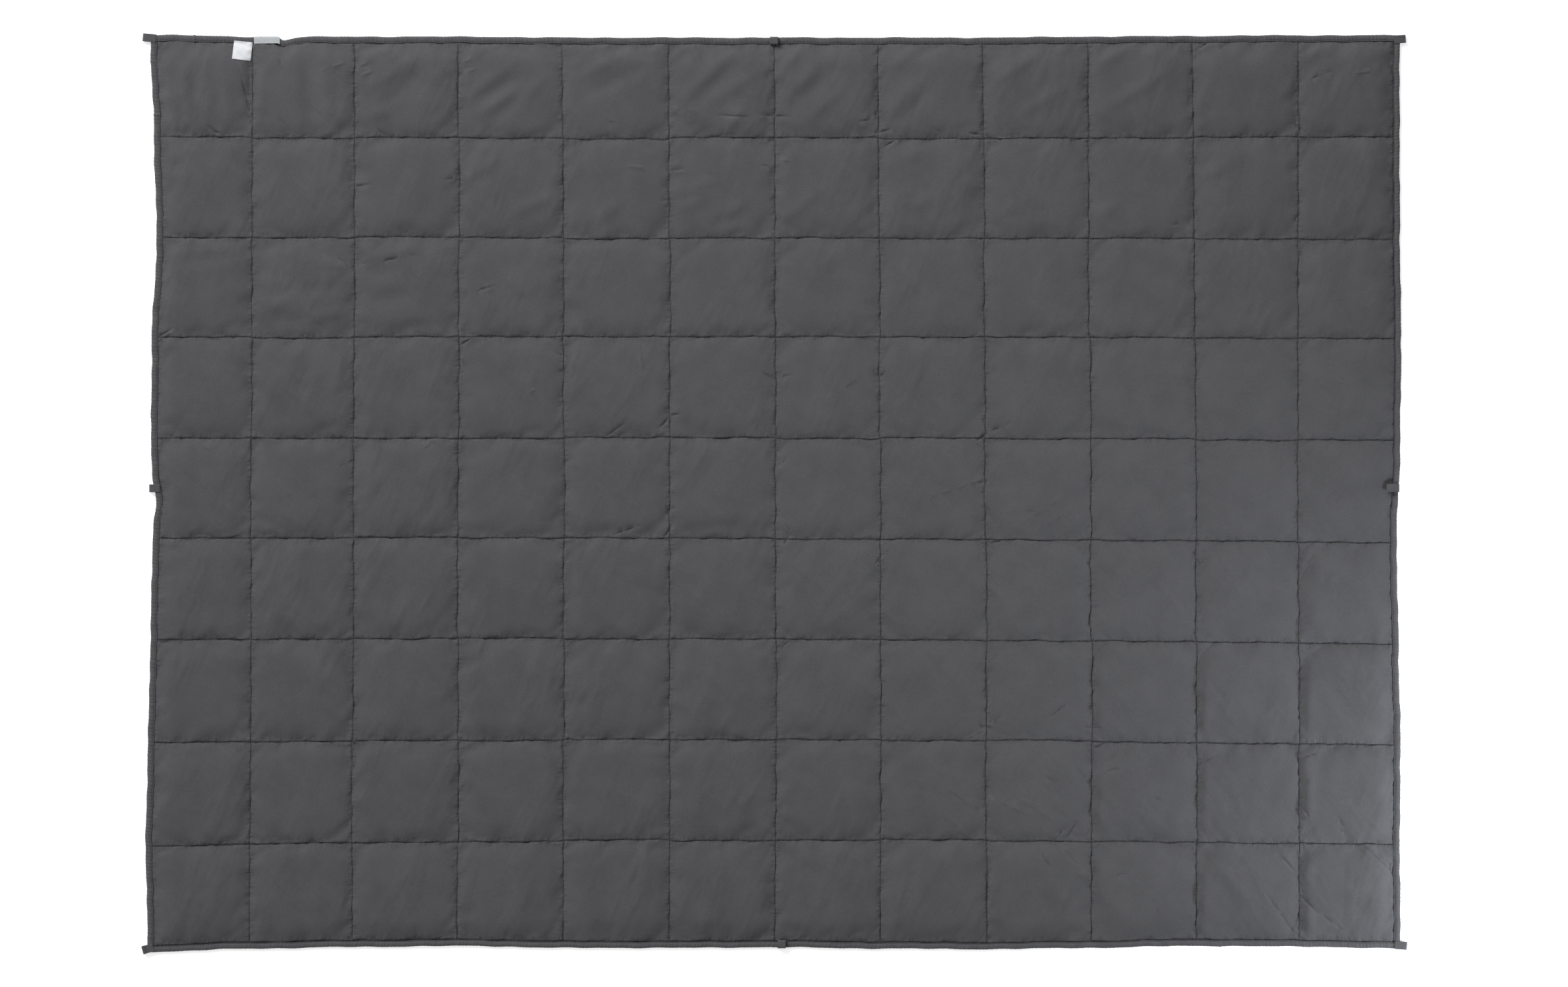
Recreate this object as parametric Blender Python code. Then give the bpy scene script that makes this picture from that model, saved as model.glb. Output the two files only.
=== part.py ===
"""Weighted blanket lying flat: quilted pockets, a bound edge, tape loops for a cover, and two bare labels.

The blanket lies on z = 0 with its long side along X and its labelled edge towards +Y.
Sizes below are millimetres; a vertex is turned to metres as it is placed.
"""

import math
from typing import NamedTuple

import bmesh
import bpy
from mathutils import Matrix, Vector

MM = 0.001
GAP = 0.3  # between touching pieces
WELD = 0.00001  # metres

# Quilted body
COLUMNS = 12
ROWS = 9
CROWN = 14.0  # top of a full pocket
SEAM_LOW = 2.9  # underside of a sewn channel
SEAM_HIGH = 4.7  # top of a sewn channel
CROWN_SHARES = (0.0, 0.07, 0.3, 0.7, 0.93)  # where a pocket's top is shaped, as shares of its width
FLAT_SHARES = (0.0, 0.07, 0.93)  # where its underside is shaped
HEM_BAND = 2  # stations from the rim to the first pocket's flat underside
CROWN_FLATNESS = 3.0
CROWN_ROUNDNESS = 0.6
FILL_WAVES = (  # how unevenly the beads fill the pockets
    # swing, turn per column, turn per row
    (0.07, 1.7, 0.9),
    (0.05, -1.1, 2.3),
)

# Edge binding, a tape folded round the quilt's rim
BINDING_WIDTH = 10.0
BINDING_CLOTH = 0.9
RIM_INSET = 2.5  # the quilt's rim, in from the binding's outer edge
HEM_INSET = BINDING_WIDTH + 2 * GAP  # where the pockets start
MID_HEIGHT = (SEAM_LOW + SEAM_HIGH) / 2
CHANNEL_HALF = (SEAM_HIGH - SEAM_LOW) / 2 + GAP
BINDING_HALF = CHANNEL_HALF + BINDING_CLOTH
BINDING_TOP = MID_HEIGHT + BINDING_HALF
BINDING_FOOT = MID_HEIGHT - BINDING_HALF
FOLD_STEPS = 3

# Loop tape
TAPE_WIDTH = 13.0
TAPE_CLOTH = 1.0
TAPE_LEG = 9.0  # sewn length on each face of the binding
LOOP_START = 1.0  # how far past the edge a loop that stands out starts to bend
LOOP_ROOM = 4.9  # clear height inside a loop that is laid back over the binding
LOOP_SHOULDER = 3.0  # bend radius where such a loop turns down at the edge
LOOP_HEEL = 2.0  # bend radius where it turns under the edge
LOWER_END = 1.3  # where its lower layer starts, in from the edge
LOWER_BEND = 8.0  # and where that layer may first lift off the binding
FLANK_SLOPE = 0.42  # rise of a pocket's flank where a loop lies on it
FLANK_START = 14.0  # how far in a flat tape would touch the flank
BEND_STEPS = 5  # an odd number, so that a loop's tip has a flat for the tie

# Labels
LABEL_CLOTH = 0.6
LABEL_LIFT = 0.5  # off what it lies on
CARE_WIDTH = 30.0
CARE_LENGTH = 30.3
CARE_TURN = -6.0  # degrees
CARE_TOP = (-865.0, 736.2)  # middle of its sewn edge
CARE_COLUMNS = 4
CARE_ROWS = 8
SIDE_LABEL_SPAN = (-847.5, -805.7)  # along the top edge
SIDE_LABEL_REACH = BINDING_WIDTH + 0.4


class Seam(NamedTuple):
    """One sewn channel: its place where its ends average, its lean end to end and its bow in the middle."""

    place: float
    lean: float
    bow: float


class Tuck(NamedTuple):
    """A stretch of edge that is rolled in: its share along the side, its depth and its spread."""

    at: float
    depth: float
    spread: float


class Edge(NamedTuple):
    """One side: its straight line, which way is out, its reach beyond that at each seam, and its tucks."""

    place: float
    outward: int
    reach: tuple
    tucks: tuple


class Loop(NamedTuple):
    """One tape loop; a folded one is laid back over the binding, the others stand out from the edge."""

    name: str
    side: str
    at: float  # coordinate along the side
    reach: float  # from the binding's outer edge to the tip
    pointing: float = 0.0  # degrees, turned from straight out
    twist: float = 0.0  # degrees at the tip
    flare: float = 0.0  # how much wider it opens than its root
    folded: bool = False


class Station(NamedTuple):
    """A place along one way of the quilt: the line before it, the share to the next, the side's share."""

    line: int
    share: float
    along: float


class Frame(NamedTuple):
    """Where a swept section stands: its origin and the directions of its two coordinates."""

    origin: Vector
    first: Vector
    second: Vector


# Channels that run up the blanket, left to right; a positive lean moves the upper end to the right
UPRIGHT_SEAMS = (
    Seam(place=-853.0, lean=4.2, bow=1.0),
    Seam(place=-685.9, lean=3.2, bow=0.5),
    Seam(place=-515.1, lean=3.2, bow=0.5),
    Seam(place=-343.8, lean=0.0, bow=1.6),
    Seam(place=-171.3, lean=-1.0, bow=1.0),
    Seam(place=0.0, lean=-2.1, bow=2.1),
    Seam(place=170.8, lean=-4.2, bow=2.1),
    Seam(place=343.2, lean=-7.4, bow=1.0),
    Seam(place=513.5, lean=-6.4, bow=2.1),
    Seam(place=684.3, lean=-6.4, bow=2.6),
    Seam(place=853.6, lean=-3.2, bow=0.0),
)

# Channels that run across, bottom to top; a positive lean raises the right end
LEVEL_SEAMS = (
    Seam(place=-573.5, lean=2.1, bow=9.0),
    Seam(place=-407.9, lean=-4.2, bow=6.4),
    Seam(place=-241.9, lean=-7.4, bow=4.8),
    Seam(place=-75.9, lean=-6.4, bow=2.1),
    Seam(place=88.1, lean=-3.2, bow=2.1),
    Seam(place=253.6, lean=-1.0, bow=2.1),
    Seam(place=415.9, lean=-1.0, bow=-0.5),
    Seam(place=580.9, lean=0.0, bow=-2.6),
)

EDGES = {
    "left": Edge(
        place=-1015.0,
        outward=-1,
        reach=(5.8, 9.5, 5.8, 1.6, -1.6, 0.5, -0.5, -8.5, -4.2, 1.6),
        tucks=(Tuck(at=0.49, depth=7.0, spread=0.022),),
    ),
    "right": Edge(
        place=1019.0,
        outward=1,
        reach=(1.6, 0.5, 1.6, -1.6, -4.8, 1.1, 2.6, 0.5, 0.0, 0.0),
        tucks=(),
    ),
    "bottom": Edge(
        place=-739.5,
        outward=-1,
        reach=(6.9, 1.6, -1.1, -2.7, 0.5, 0.5, -0.5, 1.6, 2.7, 0.5, -2.7, -1.6, 1.6),
        tucks=(),
    ),
    "top": Edge(
        place=743.8,
        outward=1,
        reach=(3.7, 0.0, 0.5, 0.5, -1.1, -1.1, -1.1, -1.1, -1.1, 0.5, 1.6, 2.6, 2.6),
        tucks=(),
    ),
}

LOOPS = (
    Loop("tie_loop_top_left", side="left", at=742.0, reach=13.0),
    Loop("tie_loop_left", side="left", at=8.5, reach=8.5),
    Loop("tie_loop_bottom_left", side="left", at=-741.5, reach=9.5, pointing=15.0, twist=-14.0, flare=2.0),
    Loop("tie_loop_top_right", side="right", at=740.0, reach=9.5),
    Loop("tie_loop_right", side="right", at=9.0, reach=20.0, folded=True),
    Loop("tie_loop_bottom_right", side="right", at=-736.0, reach=11.0),
    Loop("tie_loop_top_middle", side="top", at=-0.5, reach=12.0, folded=True),
    Loop("tie_loop_bottom_middle", side="bottom", at=12.2, reach=12.5, folded=True),
)


def eased(values, share):
    """Read a row of evenly spaced values at a share of its length, eased from each to the next."""
    place = share * (len(values) - 1)
    left = min(int(place), len(values) - 2)
    ease = (1 - math.cos(math.pi * (place - left))) / 2
    return values[left] + (values[left + 1] - values[left]) * ease


def seam_line(seam):
    """The line of a sewn channel, as a function of the share along it."""
    return lambda share: seam.place + seam.lean * (share - 0.5) + seam.bow * 4 * share * (1 - share)


def edge_line(side, inset=0.0):
    """The line that stands inset from a side's outer edge, as a function of the share along it."""
    edge = EDGES[side]

    def line(share):
        rolled = sum(tuck.depth * math.exp(-(((share - tuck.at) / tuck.spread) ** 2)) for tuck in edge.tucks)
        return edge.place + edge.outward * (eased(edge.reach, share) - rolled - inset)

    return line


def ruled_lines(low_side, seams, high_side):
    """The lines that rule the quilt one way: rim, hem line, channels, hem line, rim."""
    low_end = [edge_line(low_side, RIM_INSET), edge_line(low_side, HEM_INSET)]
    high_end = [edge_line(high_side, HEM_INSET), edge_line(high_side, RIM_INSET)]
    return low_end + [seam_line(seam) for seam in seams] + high_end


ACROSS = ruled_lines("left", UPRIGHT_SEAMS, "right")
UPWARD = ruled_lines("bottom", LEVEL_SEAMS, "top")


def stations(pockets):
    """Every place along one way where the quilt has a row of vertices."""
    inner = [
        Station(pocket + 1, share, (pocket + share) / pockets)
        for pocket in range(pockets)
        for share in CROWN_SHARES
    ]
    rim = Station(0, 0.0, 0.0)
    return [rim] + inner + [Station(pockets + 1, 0.0, 1.0), Station(pockets + 2, 0.0, 1.0)]


def between(lines, station, along):
    """Where a station lies between its two lines, at a share along them."""
    here = lines[station.line](along)
    if station.share == 0:
        return here
    return here + (lines[station.line + 1](along) - here) * station.share


def bulge(share):
    """A pocket's rise across its width: 0 at its channels, 1 in the middle."""
    return (1 - abs(2 * share - 1) ** CROWN_FLATNESS) ** CROWN_ROUNDNESS


def fill(column, row):
    """How full a pocket is, about 1."""
    return 1 + sum(swing * math.sin(a * column + b * row) for swing, a, b in FILL_WAVES)


def quilt_top(across, upward):
    """Height of the quilt's top at a pair of stations."""
    rise = bulge(across.share) * bulge(upward.share) * fill(across.line, upward.line)
    return SEAM_HIGH + (CROWN - SEAM_HIGH) * rise


def quilt_foot(across, upward):
    """Height of its underside: on the floor inside a pocket, raised at the channels."""
    on_floor = across.share > 0 and upward.share > 0
    return 0.0 if on_floor else SEAM_LOW


def cloth(name, color, roughness):
    """A plain cloth material."""
    material = bpy.data.materials.new(name)
    material.use_nodes = True
    shader = material.node_tree.nodes["Principled BSDF"]
    shader.inputs["Base Color"].default_value = (*color, 1.0)
    shader.inputs["Roughness"].default_value = roughness
    shader.inputs["Metallic"].default_value = 0.0
    return material


def finish(name, bm, material):
    """Turn a finished bmesh into a named object with its faces pointing out."""
    bmesh.ops.recalc_face_normals(bm, faces=bm.faces[:])
    mesh = bpy.data.meshes.new(name)
    bm.to_mesh(mesh)
    bm.free()
    mesh.shade_smooth()
    mesh.set_sharp_from_angle(angle=math.radians(40))
    mesh.materials.append(material)
    piece = bpy.data.objects.new(name, mesh)
    bpy.context.scene.collection.objects.link(piece)
    return piece


def numbered_grid(bm, columns, rows):
    """Make a flat grid and return its vertices by column and row number."""
    made = bmesh.ops.create_grid(bm, x_segments=columns, y_segments=rows, size=0.5)
    return {
        (round((vert.co.x + 0.5) * columns), round((vert.co.y + 0.5) * rows)): vert
        for vert in made["verts"]
    }


def drop_underside(bm, sheet, height):
    """Extrude a sheet into a solid, each new vertex at the height for its column and row."""
    by_plan = {(vert.co.x, vert.co.y): place for place, vert in sheet.items()}
    extruded = bmesh.ops.extrude_face_region(bm, geom=bm.faces[:])
    underside = {}
    for item in extruded["geom"]:
        if isinstance(item, bmesh.types.BMVert):
            place = by_plan[(item.co.x, item.co.y)]
            item.co.z = height(*place) * MM
            underside[item] = place
    return underside


def make_quilt(material):
    """The filled body: crowned pockets, flat undersides, thin channels and a thin rim."""
    columns = stations(COLUMNS)
    rows = stations(ROWS)
    bm = bmesh.new()
    top = numbered_grid(bm, len(columns) - 1, len(rows) - 1)
    for (i, j), vert in top.items():
        across, upward = columns[i], rows[j]
        x = between(ACROSS, across, upward.along)
        y = between(UPWARD, upward, across.along)
        vert.co = Vector((x, y, quilt_top(across, upward))) * MM
    underside = drop_underside(bm, top, lambda i, j: quilt_foot(columns[i], rows[j]))

    # An underside is flat inside its outer shares, so the edges drawn across it come out,
    # but for those in the band along the binding, which follows the edge's own shape
    spare_columns = {i for i, station in enumerate(columns) if station.share not in FLAT_SHARES}
    spare_rows = {j for j, station in enumerate(rows) if station.share not in FLAT_SHARES}
    inner_columns = set(range(HEM_BAND, len(columns) - HEM_BAND))
    inner_rows = set(range(HEM_BAND, len(rows) - HEM_BAND))
    spare_edges = []
    for edge in bm.edges:
        if not all(vert in underside for vert in edge.verts):
            continue
        (i0, j0), (i1, j1) = (underside[vert] for vert in edge.verts)
        upright = i0 == i1 and i0 in spare_columns and {j0, j1} <= inner_rows
        level = j0 == j1 and j0 in spare_rows and {i0, i1} <= inner_columns
        if upright or level:
            spare_edges.append(edge)
    bmesh.ops.dissolve_edges(bm, edges=spare_edges, use_verts=True)
    return finish("quilt", bm, material)


def make_sweep(name, frames, section, material):
    """Sweep a closed section along frames and cap its ends."""
    bm = bmesh.new()
    skin = numbered_grid(bm, len(frames) - 1, len(section))
    for (i, j), vert in skin.items():
        frame = frames[i]
        a, b = section[j % len(section)]
        vert.co = (frame.origin + frame.first * a + frame.second * b) * MM
    bmesh.ops.remove_doubles(bm, verts=bm.verts[:], dist=WELD)
    rims = [edge for edge in bm.edges if edge.is_boundary]
    bmesh.ops.edgeloop_fill(bm, edges=rims)
    return finish(name, bm, material)


def arc(centre, radius, start, end, steps):
    """Points round an arc, from one angle to another in degrees."""
    angles = [math.radians(start + (end - start) * step / steps) for step in range(steps + 1)]
    return [(centre[0] + radius * math.cos(a), centre[1] + radius * math.sin(a)) for a in angles]


def wrapped_section(inside, thickness, reach, inner_steps):
    """A tape folded round the rim, in distance from the edge and height, from its clear half height."""
    outside = inside + thickness
    centre = (BINDING_HALF, MID_HEIGHT)
    return (
        [(reach, MID_HEIGHT + outside)]
        + arc(centre, outside, 90, 270, FOLD_STEPS)
        + [(reach, MID_HEIGHT - outside), (reach, MID_HEIGHT - inside)]
        + arc(centre, inside, 270, 90, inner_steps)
        + [(reach, MID_HEIGHT + inside)]
    )


def edge_frames(side):
    """Frames along a side's binding strip: origin on its outer edge, then inwards and up."""
    edge = EDGES[side]
    outer = edge_line(side)
    if side in ("top", "bottom"):  # these strips run to the blanket's very ends
        end = 1.0 if side == "top" else 0.0
        spots = [(edge_line("left")(end), 0.0)]
        spots += [(between(ACROSS, station, end), station.along) for station in stations(COLUMNS)[1:-1]]
        spots += [(edge_line("right")(end), 1.0)]
        inward = Vector((0, -edge.outward, 0))
        origins = [Vector((place, outer(along), 0)) for place, along in spots]
    else:  # and these stop just short of them
        end = 1.0 if side == "right" else 0.0
        stop = BINDING_WIDTH + GAP
        spots = [(edge_line("bottom", stop)(end), 0.0)]
        spots += [(between(UPWARD, station, end), station.along) for station in stations(ROWS)[2:-2]]
        spots += [(edge_line("top", stop)(end), 1.0)]
        inward = Vector((-edge.outward, 0, 0))
        origins = [Vector((outer(along), place, 0)) for place, along in spots]
    return [Frame(origin, inward, Vector((0, 0, 1))) for origin in origins]


def edge_point(side, at):
    """The point of a side's outer edge at a coordinate along it, held to the strip's ends."""
    way = 0 if side in ("top", "bottom") else 1
    origins = [frame.origin for frame in edge_frames(side)]
    held = min(max(at, origins[0][way]), origins[-1][way])
    for before, after in zip(origins, origins[1:]):
        if held <= after[way]:
            break
    point = before.lerp(after, (held - before[way]) / (after[way] - before[way]))
    point[way] = at
    return point


def make_bindings(material):
    """The four strips of folded tape."""
    section = wrapped_section(CHANNEL_HALF, BINDING_CLOTH, BINDING_WIDTH, inner_steps=1)
    for side in EDGES:
        make_sweep(f"binding_{side}", edge_frames(side), section, material)


def loop_root(loop):
    """How far past the edge a loop's two layers stay flat."""
    return LOOP_START + TAPE_WIDTH / 2 * math.tan(math.radians(abs(loop.pointing)))


def standing_path(loop):
    """A loop that stands out, as reach and height: over the binding, round the tip, back under it."""
    leg = BINDING_HALF + GAP + TAPE_CLOTH / 2
    bend = leg + loop.flare / 2
    above = [(-TAPE_LEG, MID_HEIGHT + leg), (loop_root(loop), MID_HEIGHT + leg)]
    centre = (loop.reach - TAPE_CLOTH / 2 - bend, MID_HEIGHT + loop.flare / 2)
    below = [(loop_root(loop), MID_HEIGHT - leg), (-TAPE_LEG, MID_HEIGHT - leg)]
    return above + arc(centre, bend, 90, -90, BEND_STEPS) + below


def folded_path(loop):
    """A loop laid back over the binding: its lower layer, its tip, its upper layer, and under the edge."""
    low = BINDING_TOP + GAP + TAPE_CLOTH / 2
    high = low + TAPE_CLOTH + LOOP_ROOM
    out = GAP + TAPE_CLOTH / 2
    foot = BINDING_FOOT - GAP - TAPE_CLOTH / 2
    climb = max(0.0, loop.reach - FLANK_START) * FLANK_SLOPE
    bend = (high - low - climb) / 2
    tip = arc((-loop.reach + TAPE_CLOTH / 2 + bend, high - bend), bend, 270, 90, BEND_STEPS)
    shoulder = arc((out - LOOP_SHOULDER, high - LOOP_SHOULDER), LOOP_SHOULDER, 90, 0, FOLD_STEPS)
    heel = arc((out - LOOP_HEEL, foot + LOOP_HEEL), LOOP_HEEL, 0, -90, FOLD_STEPS)
    lower = [(-LOWER_END, low), (-LOWER_BEND, low)]
    return lower + tip + shoulder + heel + [(-TAPE_LEG, foot)]


def loop_frames(loop):
    """Frames along a loop's tape: its middle, across the tape, and square to it."""
    straight = Vector((1, 0, 0)) if loop.side in ("left", "right") else Vector((0, 1, 0))
    out = Matrix.Rotation(math.radians(loop.pointing), 3, "Z") @ (straight * EDGES[loop.side].outward)
    root = edge_point(loop.side, loop.at)
    flat = loop_root(loop)
    path = folded_path(loop) if loop.folded else standing_path(loop)
    frames = []
    for spot, (reach, height) in enumerate(path):
        before = Vector(path[max(spot - 1, 0)])
        after = Vector(path[min(spot + 1, len(path) - 1)])
        run = (after - before).normalized()
        angle = math.radians(loop.twist) * max(reach - flat, 0.0) / (loop.reach - flat)
        roll = Matrix.Rotation(angle, 3, out)
        up = roll @ Vector((0, 0, 1))
        across = roll @ out.cross(Vector((0, 0, 1)))
        middle = root + out * reach + up * (height - MID_HEIGHT)
        middle.z += MID_HEIGHT + TAPE_WIDTH / 2 * abs(math.sin(angle))  # keeps a twisted loop off the floor
        frames.append(Frame(middle, across, up * run.x - out * run.y))
    return frames


def make_loops(material):
    """The short tapes that a cover's ties go through."""
    half = TAPE_WIDTH / 2
    skin = TAPE_CLOTH / 2
    section = [(-half, -skin), (half, -skin), (half, skin), (-half, skin)]
    for loop in LOOPS:
        make_sweep(loop.name, loop_frames(loop), section, material)


def care_height(inset):
    """Height of the care label's face: over the binding, then up the first pocket's flank."""
    share = max(0.0, inset - HEM_INSET) / (UPWARD[-2](0) - UPWARD[-3](0))
    pocket = SEAM_HIGH + (CROWN - SEAM_HIGH) * bulge(share) * fill(1, ROWS)
    return max(BINDING_TOP, pocket) + LABEL_LIFT + LABEL_CLOTH


def make_care_label(material):
    """A small sheet sewn at the top binding that lies on the first pocket."""
    bm = bmesh.new()
    sheet = numbered_grid(bm, CARE_COLUMNS, CARE_ROWS)
    turn = Matrix.Rotation(math.radians(CARE_TURN), 2)
    heights = {}
    for (i, j), vert in sheet.items():
        flat = Vector(((i / CARE_COLUMNS - 0.5) * CARE_WIDTH, (j / CARE_ROWS - 1) * CARE_LENGTH))
        x, y = Vector(CARE_TOP) + turn @ flat
        heights[(i, j)] = care_height(edge_point("top", x).y - y)
        vert.co = Vector((x, y, heights[(i, j)])) * MM
    drop_underside(bm, sheet, lambda i, j: heights[(i, j)] - LABEL_CLOTH)
    return finish("care_label", bm, material)


def make_side_label(material):
    """A ribbon folded round the top binding."""
    first, last = SIDE_LABEL_SPAN
    strip = edge_frames("top")
    corners = [frame.origin.x for frame in strip if first < frame.origin.x < last]
    frames = [Frame(edge_point("top", x), strip[0].first, strip[0].second) for x in [first, *corners, last]]
    section = wrapped_section(BINDING_HALF + GAP, LABEL_CLOTH, SIDE_LABEL_REACH, inner_steps=FOLD_STEPS)
    return make_sweep("side_label", frames, section, material)


def main():
    """Clear the scene and build the blanket."""
    for thing in list(bpy.data.objects):
        bpy.data.objects.remove(thing, do_unlink=True)
    make_quilt(cloth("brushed_cloth", (0.085, 0.085, 0.090), 0.92))
    make_bindings(cloth("binding_tape", (0.075, 0.075, 0.078), 0.9))
    make_loops(cloth("loop_tape", (0.080, 0.080, 0.083), 0.9))
    make_care_label(cloth("white_satin", (0.80, 0.80, 0.82), 0.45))
    make_side_label(cloth("grey_ribbon", (0.33, 0.34, 0.35), 0.8))


main()
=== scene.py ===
"""Weighted blanket lying flat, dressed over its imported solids.

The quilted body, its bound edge, the loops for a cover's ties, two bare labels and the sewing
are each made here. Sizes are millimetres; a mesh is turned to metres as it is written.
"""

import logging
import math
from dataclasses import dataclass
from enum import Enum
from typing import Any, NamedTuple, Optional, Sequence

import bmesh
import bpy
import numpy as np
from mathutils import Matrix, Vector
from mathutils.bvhtree import BVHTree

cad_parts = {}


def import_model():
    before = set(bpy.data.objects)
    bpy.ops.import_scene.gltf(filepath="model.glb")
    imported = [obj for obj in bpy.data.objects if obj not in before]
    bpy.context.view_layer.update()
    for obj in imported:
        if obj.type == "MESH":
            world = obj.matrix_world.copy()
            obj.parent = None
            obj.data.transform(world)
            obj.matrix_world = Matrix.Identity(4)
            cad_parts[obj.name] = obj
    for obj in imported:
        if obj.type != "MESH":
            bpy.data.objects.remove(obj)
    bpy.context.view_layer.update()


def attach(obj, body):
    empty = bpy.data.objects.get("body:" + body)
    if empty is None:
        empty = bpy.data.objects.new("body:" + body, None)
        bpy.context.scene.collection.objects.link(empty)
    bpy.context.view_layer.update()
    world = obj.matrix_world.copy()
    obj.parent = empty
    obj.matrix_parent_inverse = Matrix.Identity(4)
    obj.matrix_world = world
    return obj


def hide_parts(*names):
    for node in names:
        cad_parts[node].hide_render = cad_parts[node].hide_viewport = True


MM = 0.001
WELD = 1e-6  # metres
STATION = "station"  # attribute that numbers a sheet's vertices, column by column
UNDERSIDE = -1  # the number of every vertex below
SHARP = math.radians(60)  # an edge that turns more than this stays sharp
BAND = math.pi / 10  # spacing of a wave pattern's bands at a scale of 1
POCKET = (171.0, 164.0)  # a pocket's width and depth
LOG = logging.getLogger("blanket")

Colour = tuple[float, float, float, float]
Socket = bpy.types.NodeSocket


# ---------------------------------------------------------------- the blanket's plan


class Side(Enum):
    """One of the blanket's four edges."""

    LEFT = "left"
    RIGHT = "right"
    BOTTOM = "bottom"
    TOP = "top"

    @property
    def level(self) -> bool:
        """Whether it runs from left to right."""
        return self in (Side.TOP, Side.BOTTOM)

    @property
    def ends(self) -> "tuple[Side, Side]":
        """The two sides that it runs between."""
        return (Side.LEFT, Side.RIGHT) if self.level else (Side.BOTTOM, Side.TOP)


class Seam(NamedTuple):
    """A sewn channel: its place where its ends average, its lean end to end, its bow in the middle."""

    place: float
    lean: float
    bow: float


class Tuck(NamedTuple):
    """A stretch of edge that is drawn in: its share along the side, its depth, its spread each way."""

    at: float
    depth: float
    before: float
    after: float


class Edge(NamedTuple):
    """One side: its straight line, which way is out, its reach beyond that at each seam, its tucks."""

    place: float
    outward: int
    reach: tuple[float, ...]
    tucks: tuple[Tuck, ...]


UPRIGHT_SEAMS = (
    Seam(-853.0, 4.2, 1.0),
    Seam(-685.9, 3.2, 0.5),
    Seam(-515.1, 3.2, 0.5),
    Seam(-343.8, 0.0, 1.6),
    Seam(-171.3, -1.0, 1.0),
    Seam(0.0, -2.1, 2.1),
    Seam(170.8, -4.2, 2.1),
    Seam(343.2, -7.4, 1.0),
    Seam(513.5, -6.4, 2.1),
    Seam(684.3, -6.4, 2.6),
    Seam(853.6, -3.2, 0.0),
)

LEVEL_SEAMS = (
    Seam(-573.5, 2.1, 9.0),
    Seam(-407.9, -4.2, 6.4),
    Seam(-241.9, -7.4, 4.8),
    Seam(-75.9, -6.4, 2.1),
    Seam(88.1, -3.2, 2.1),
    Seam(253.6, -1.0, 2.1),
    Seam(415.9, -1.0, -0.5),
    Seam(580.9, 0.0, -2.6),
)

EDGES = {
    Side.LEFT: Edge(
        -1015.0, -1, (5.8, 9.5, 5.8, 1.6, -1.6, 0.5, -0.5, -8.5, -4.2, 1.6), (Tuck(0.49, 7.0, 0.022, 0.022),)
    ),
    Side.RIGHT: Edge(1019.0, 1, (1.6, 0.5, 1.6, -1.6, -4.8, 1.1, 2.6, 0.5, 0.0, 0.0), ()),
    Side.BOTTOM: Edge(
        -739.5, -1, (6.9, 1.6, -1.1, -2.7, 0.5, 0.5, -0.5, 1.6, 2.7, 0.5, -2.7, -1.6, 1.6), ()
    ),
    Side.TOP: Edge(
        743.8,
        1,
        (3.7, 0.0, 0.5, 0.5, -1.1, -1.1, -1.1, -1.1, -1.1, 0.5, 1.6, 2.6, 2.6),
        (Tuck(0.1057, 5.5, 0.0026, 0.0085),),
    ),
}


Waves = tuple[tuple[float, float, float], ...]


def ripples(share: np.ndarray, waves: Waves, turn: float) -> np.ndarray:
    """Add up the waves in a line.

    Args:
        share: Shares of the line's length, 0 to 1.
        waves: How fast each wave runs, its height, and its part in the turn.
        turn: What moves this line's waves from those of the others.

    Returns:
        One height for each share.
    """
    return sum(height * np.sin(share * speed + part * turn) for speed, height, part in waves)


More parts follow.
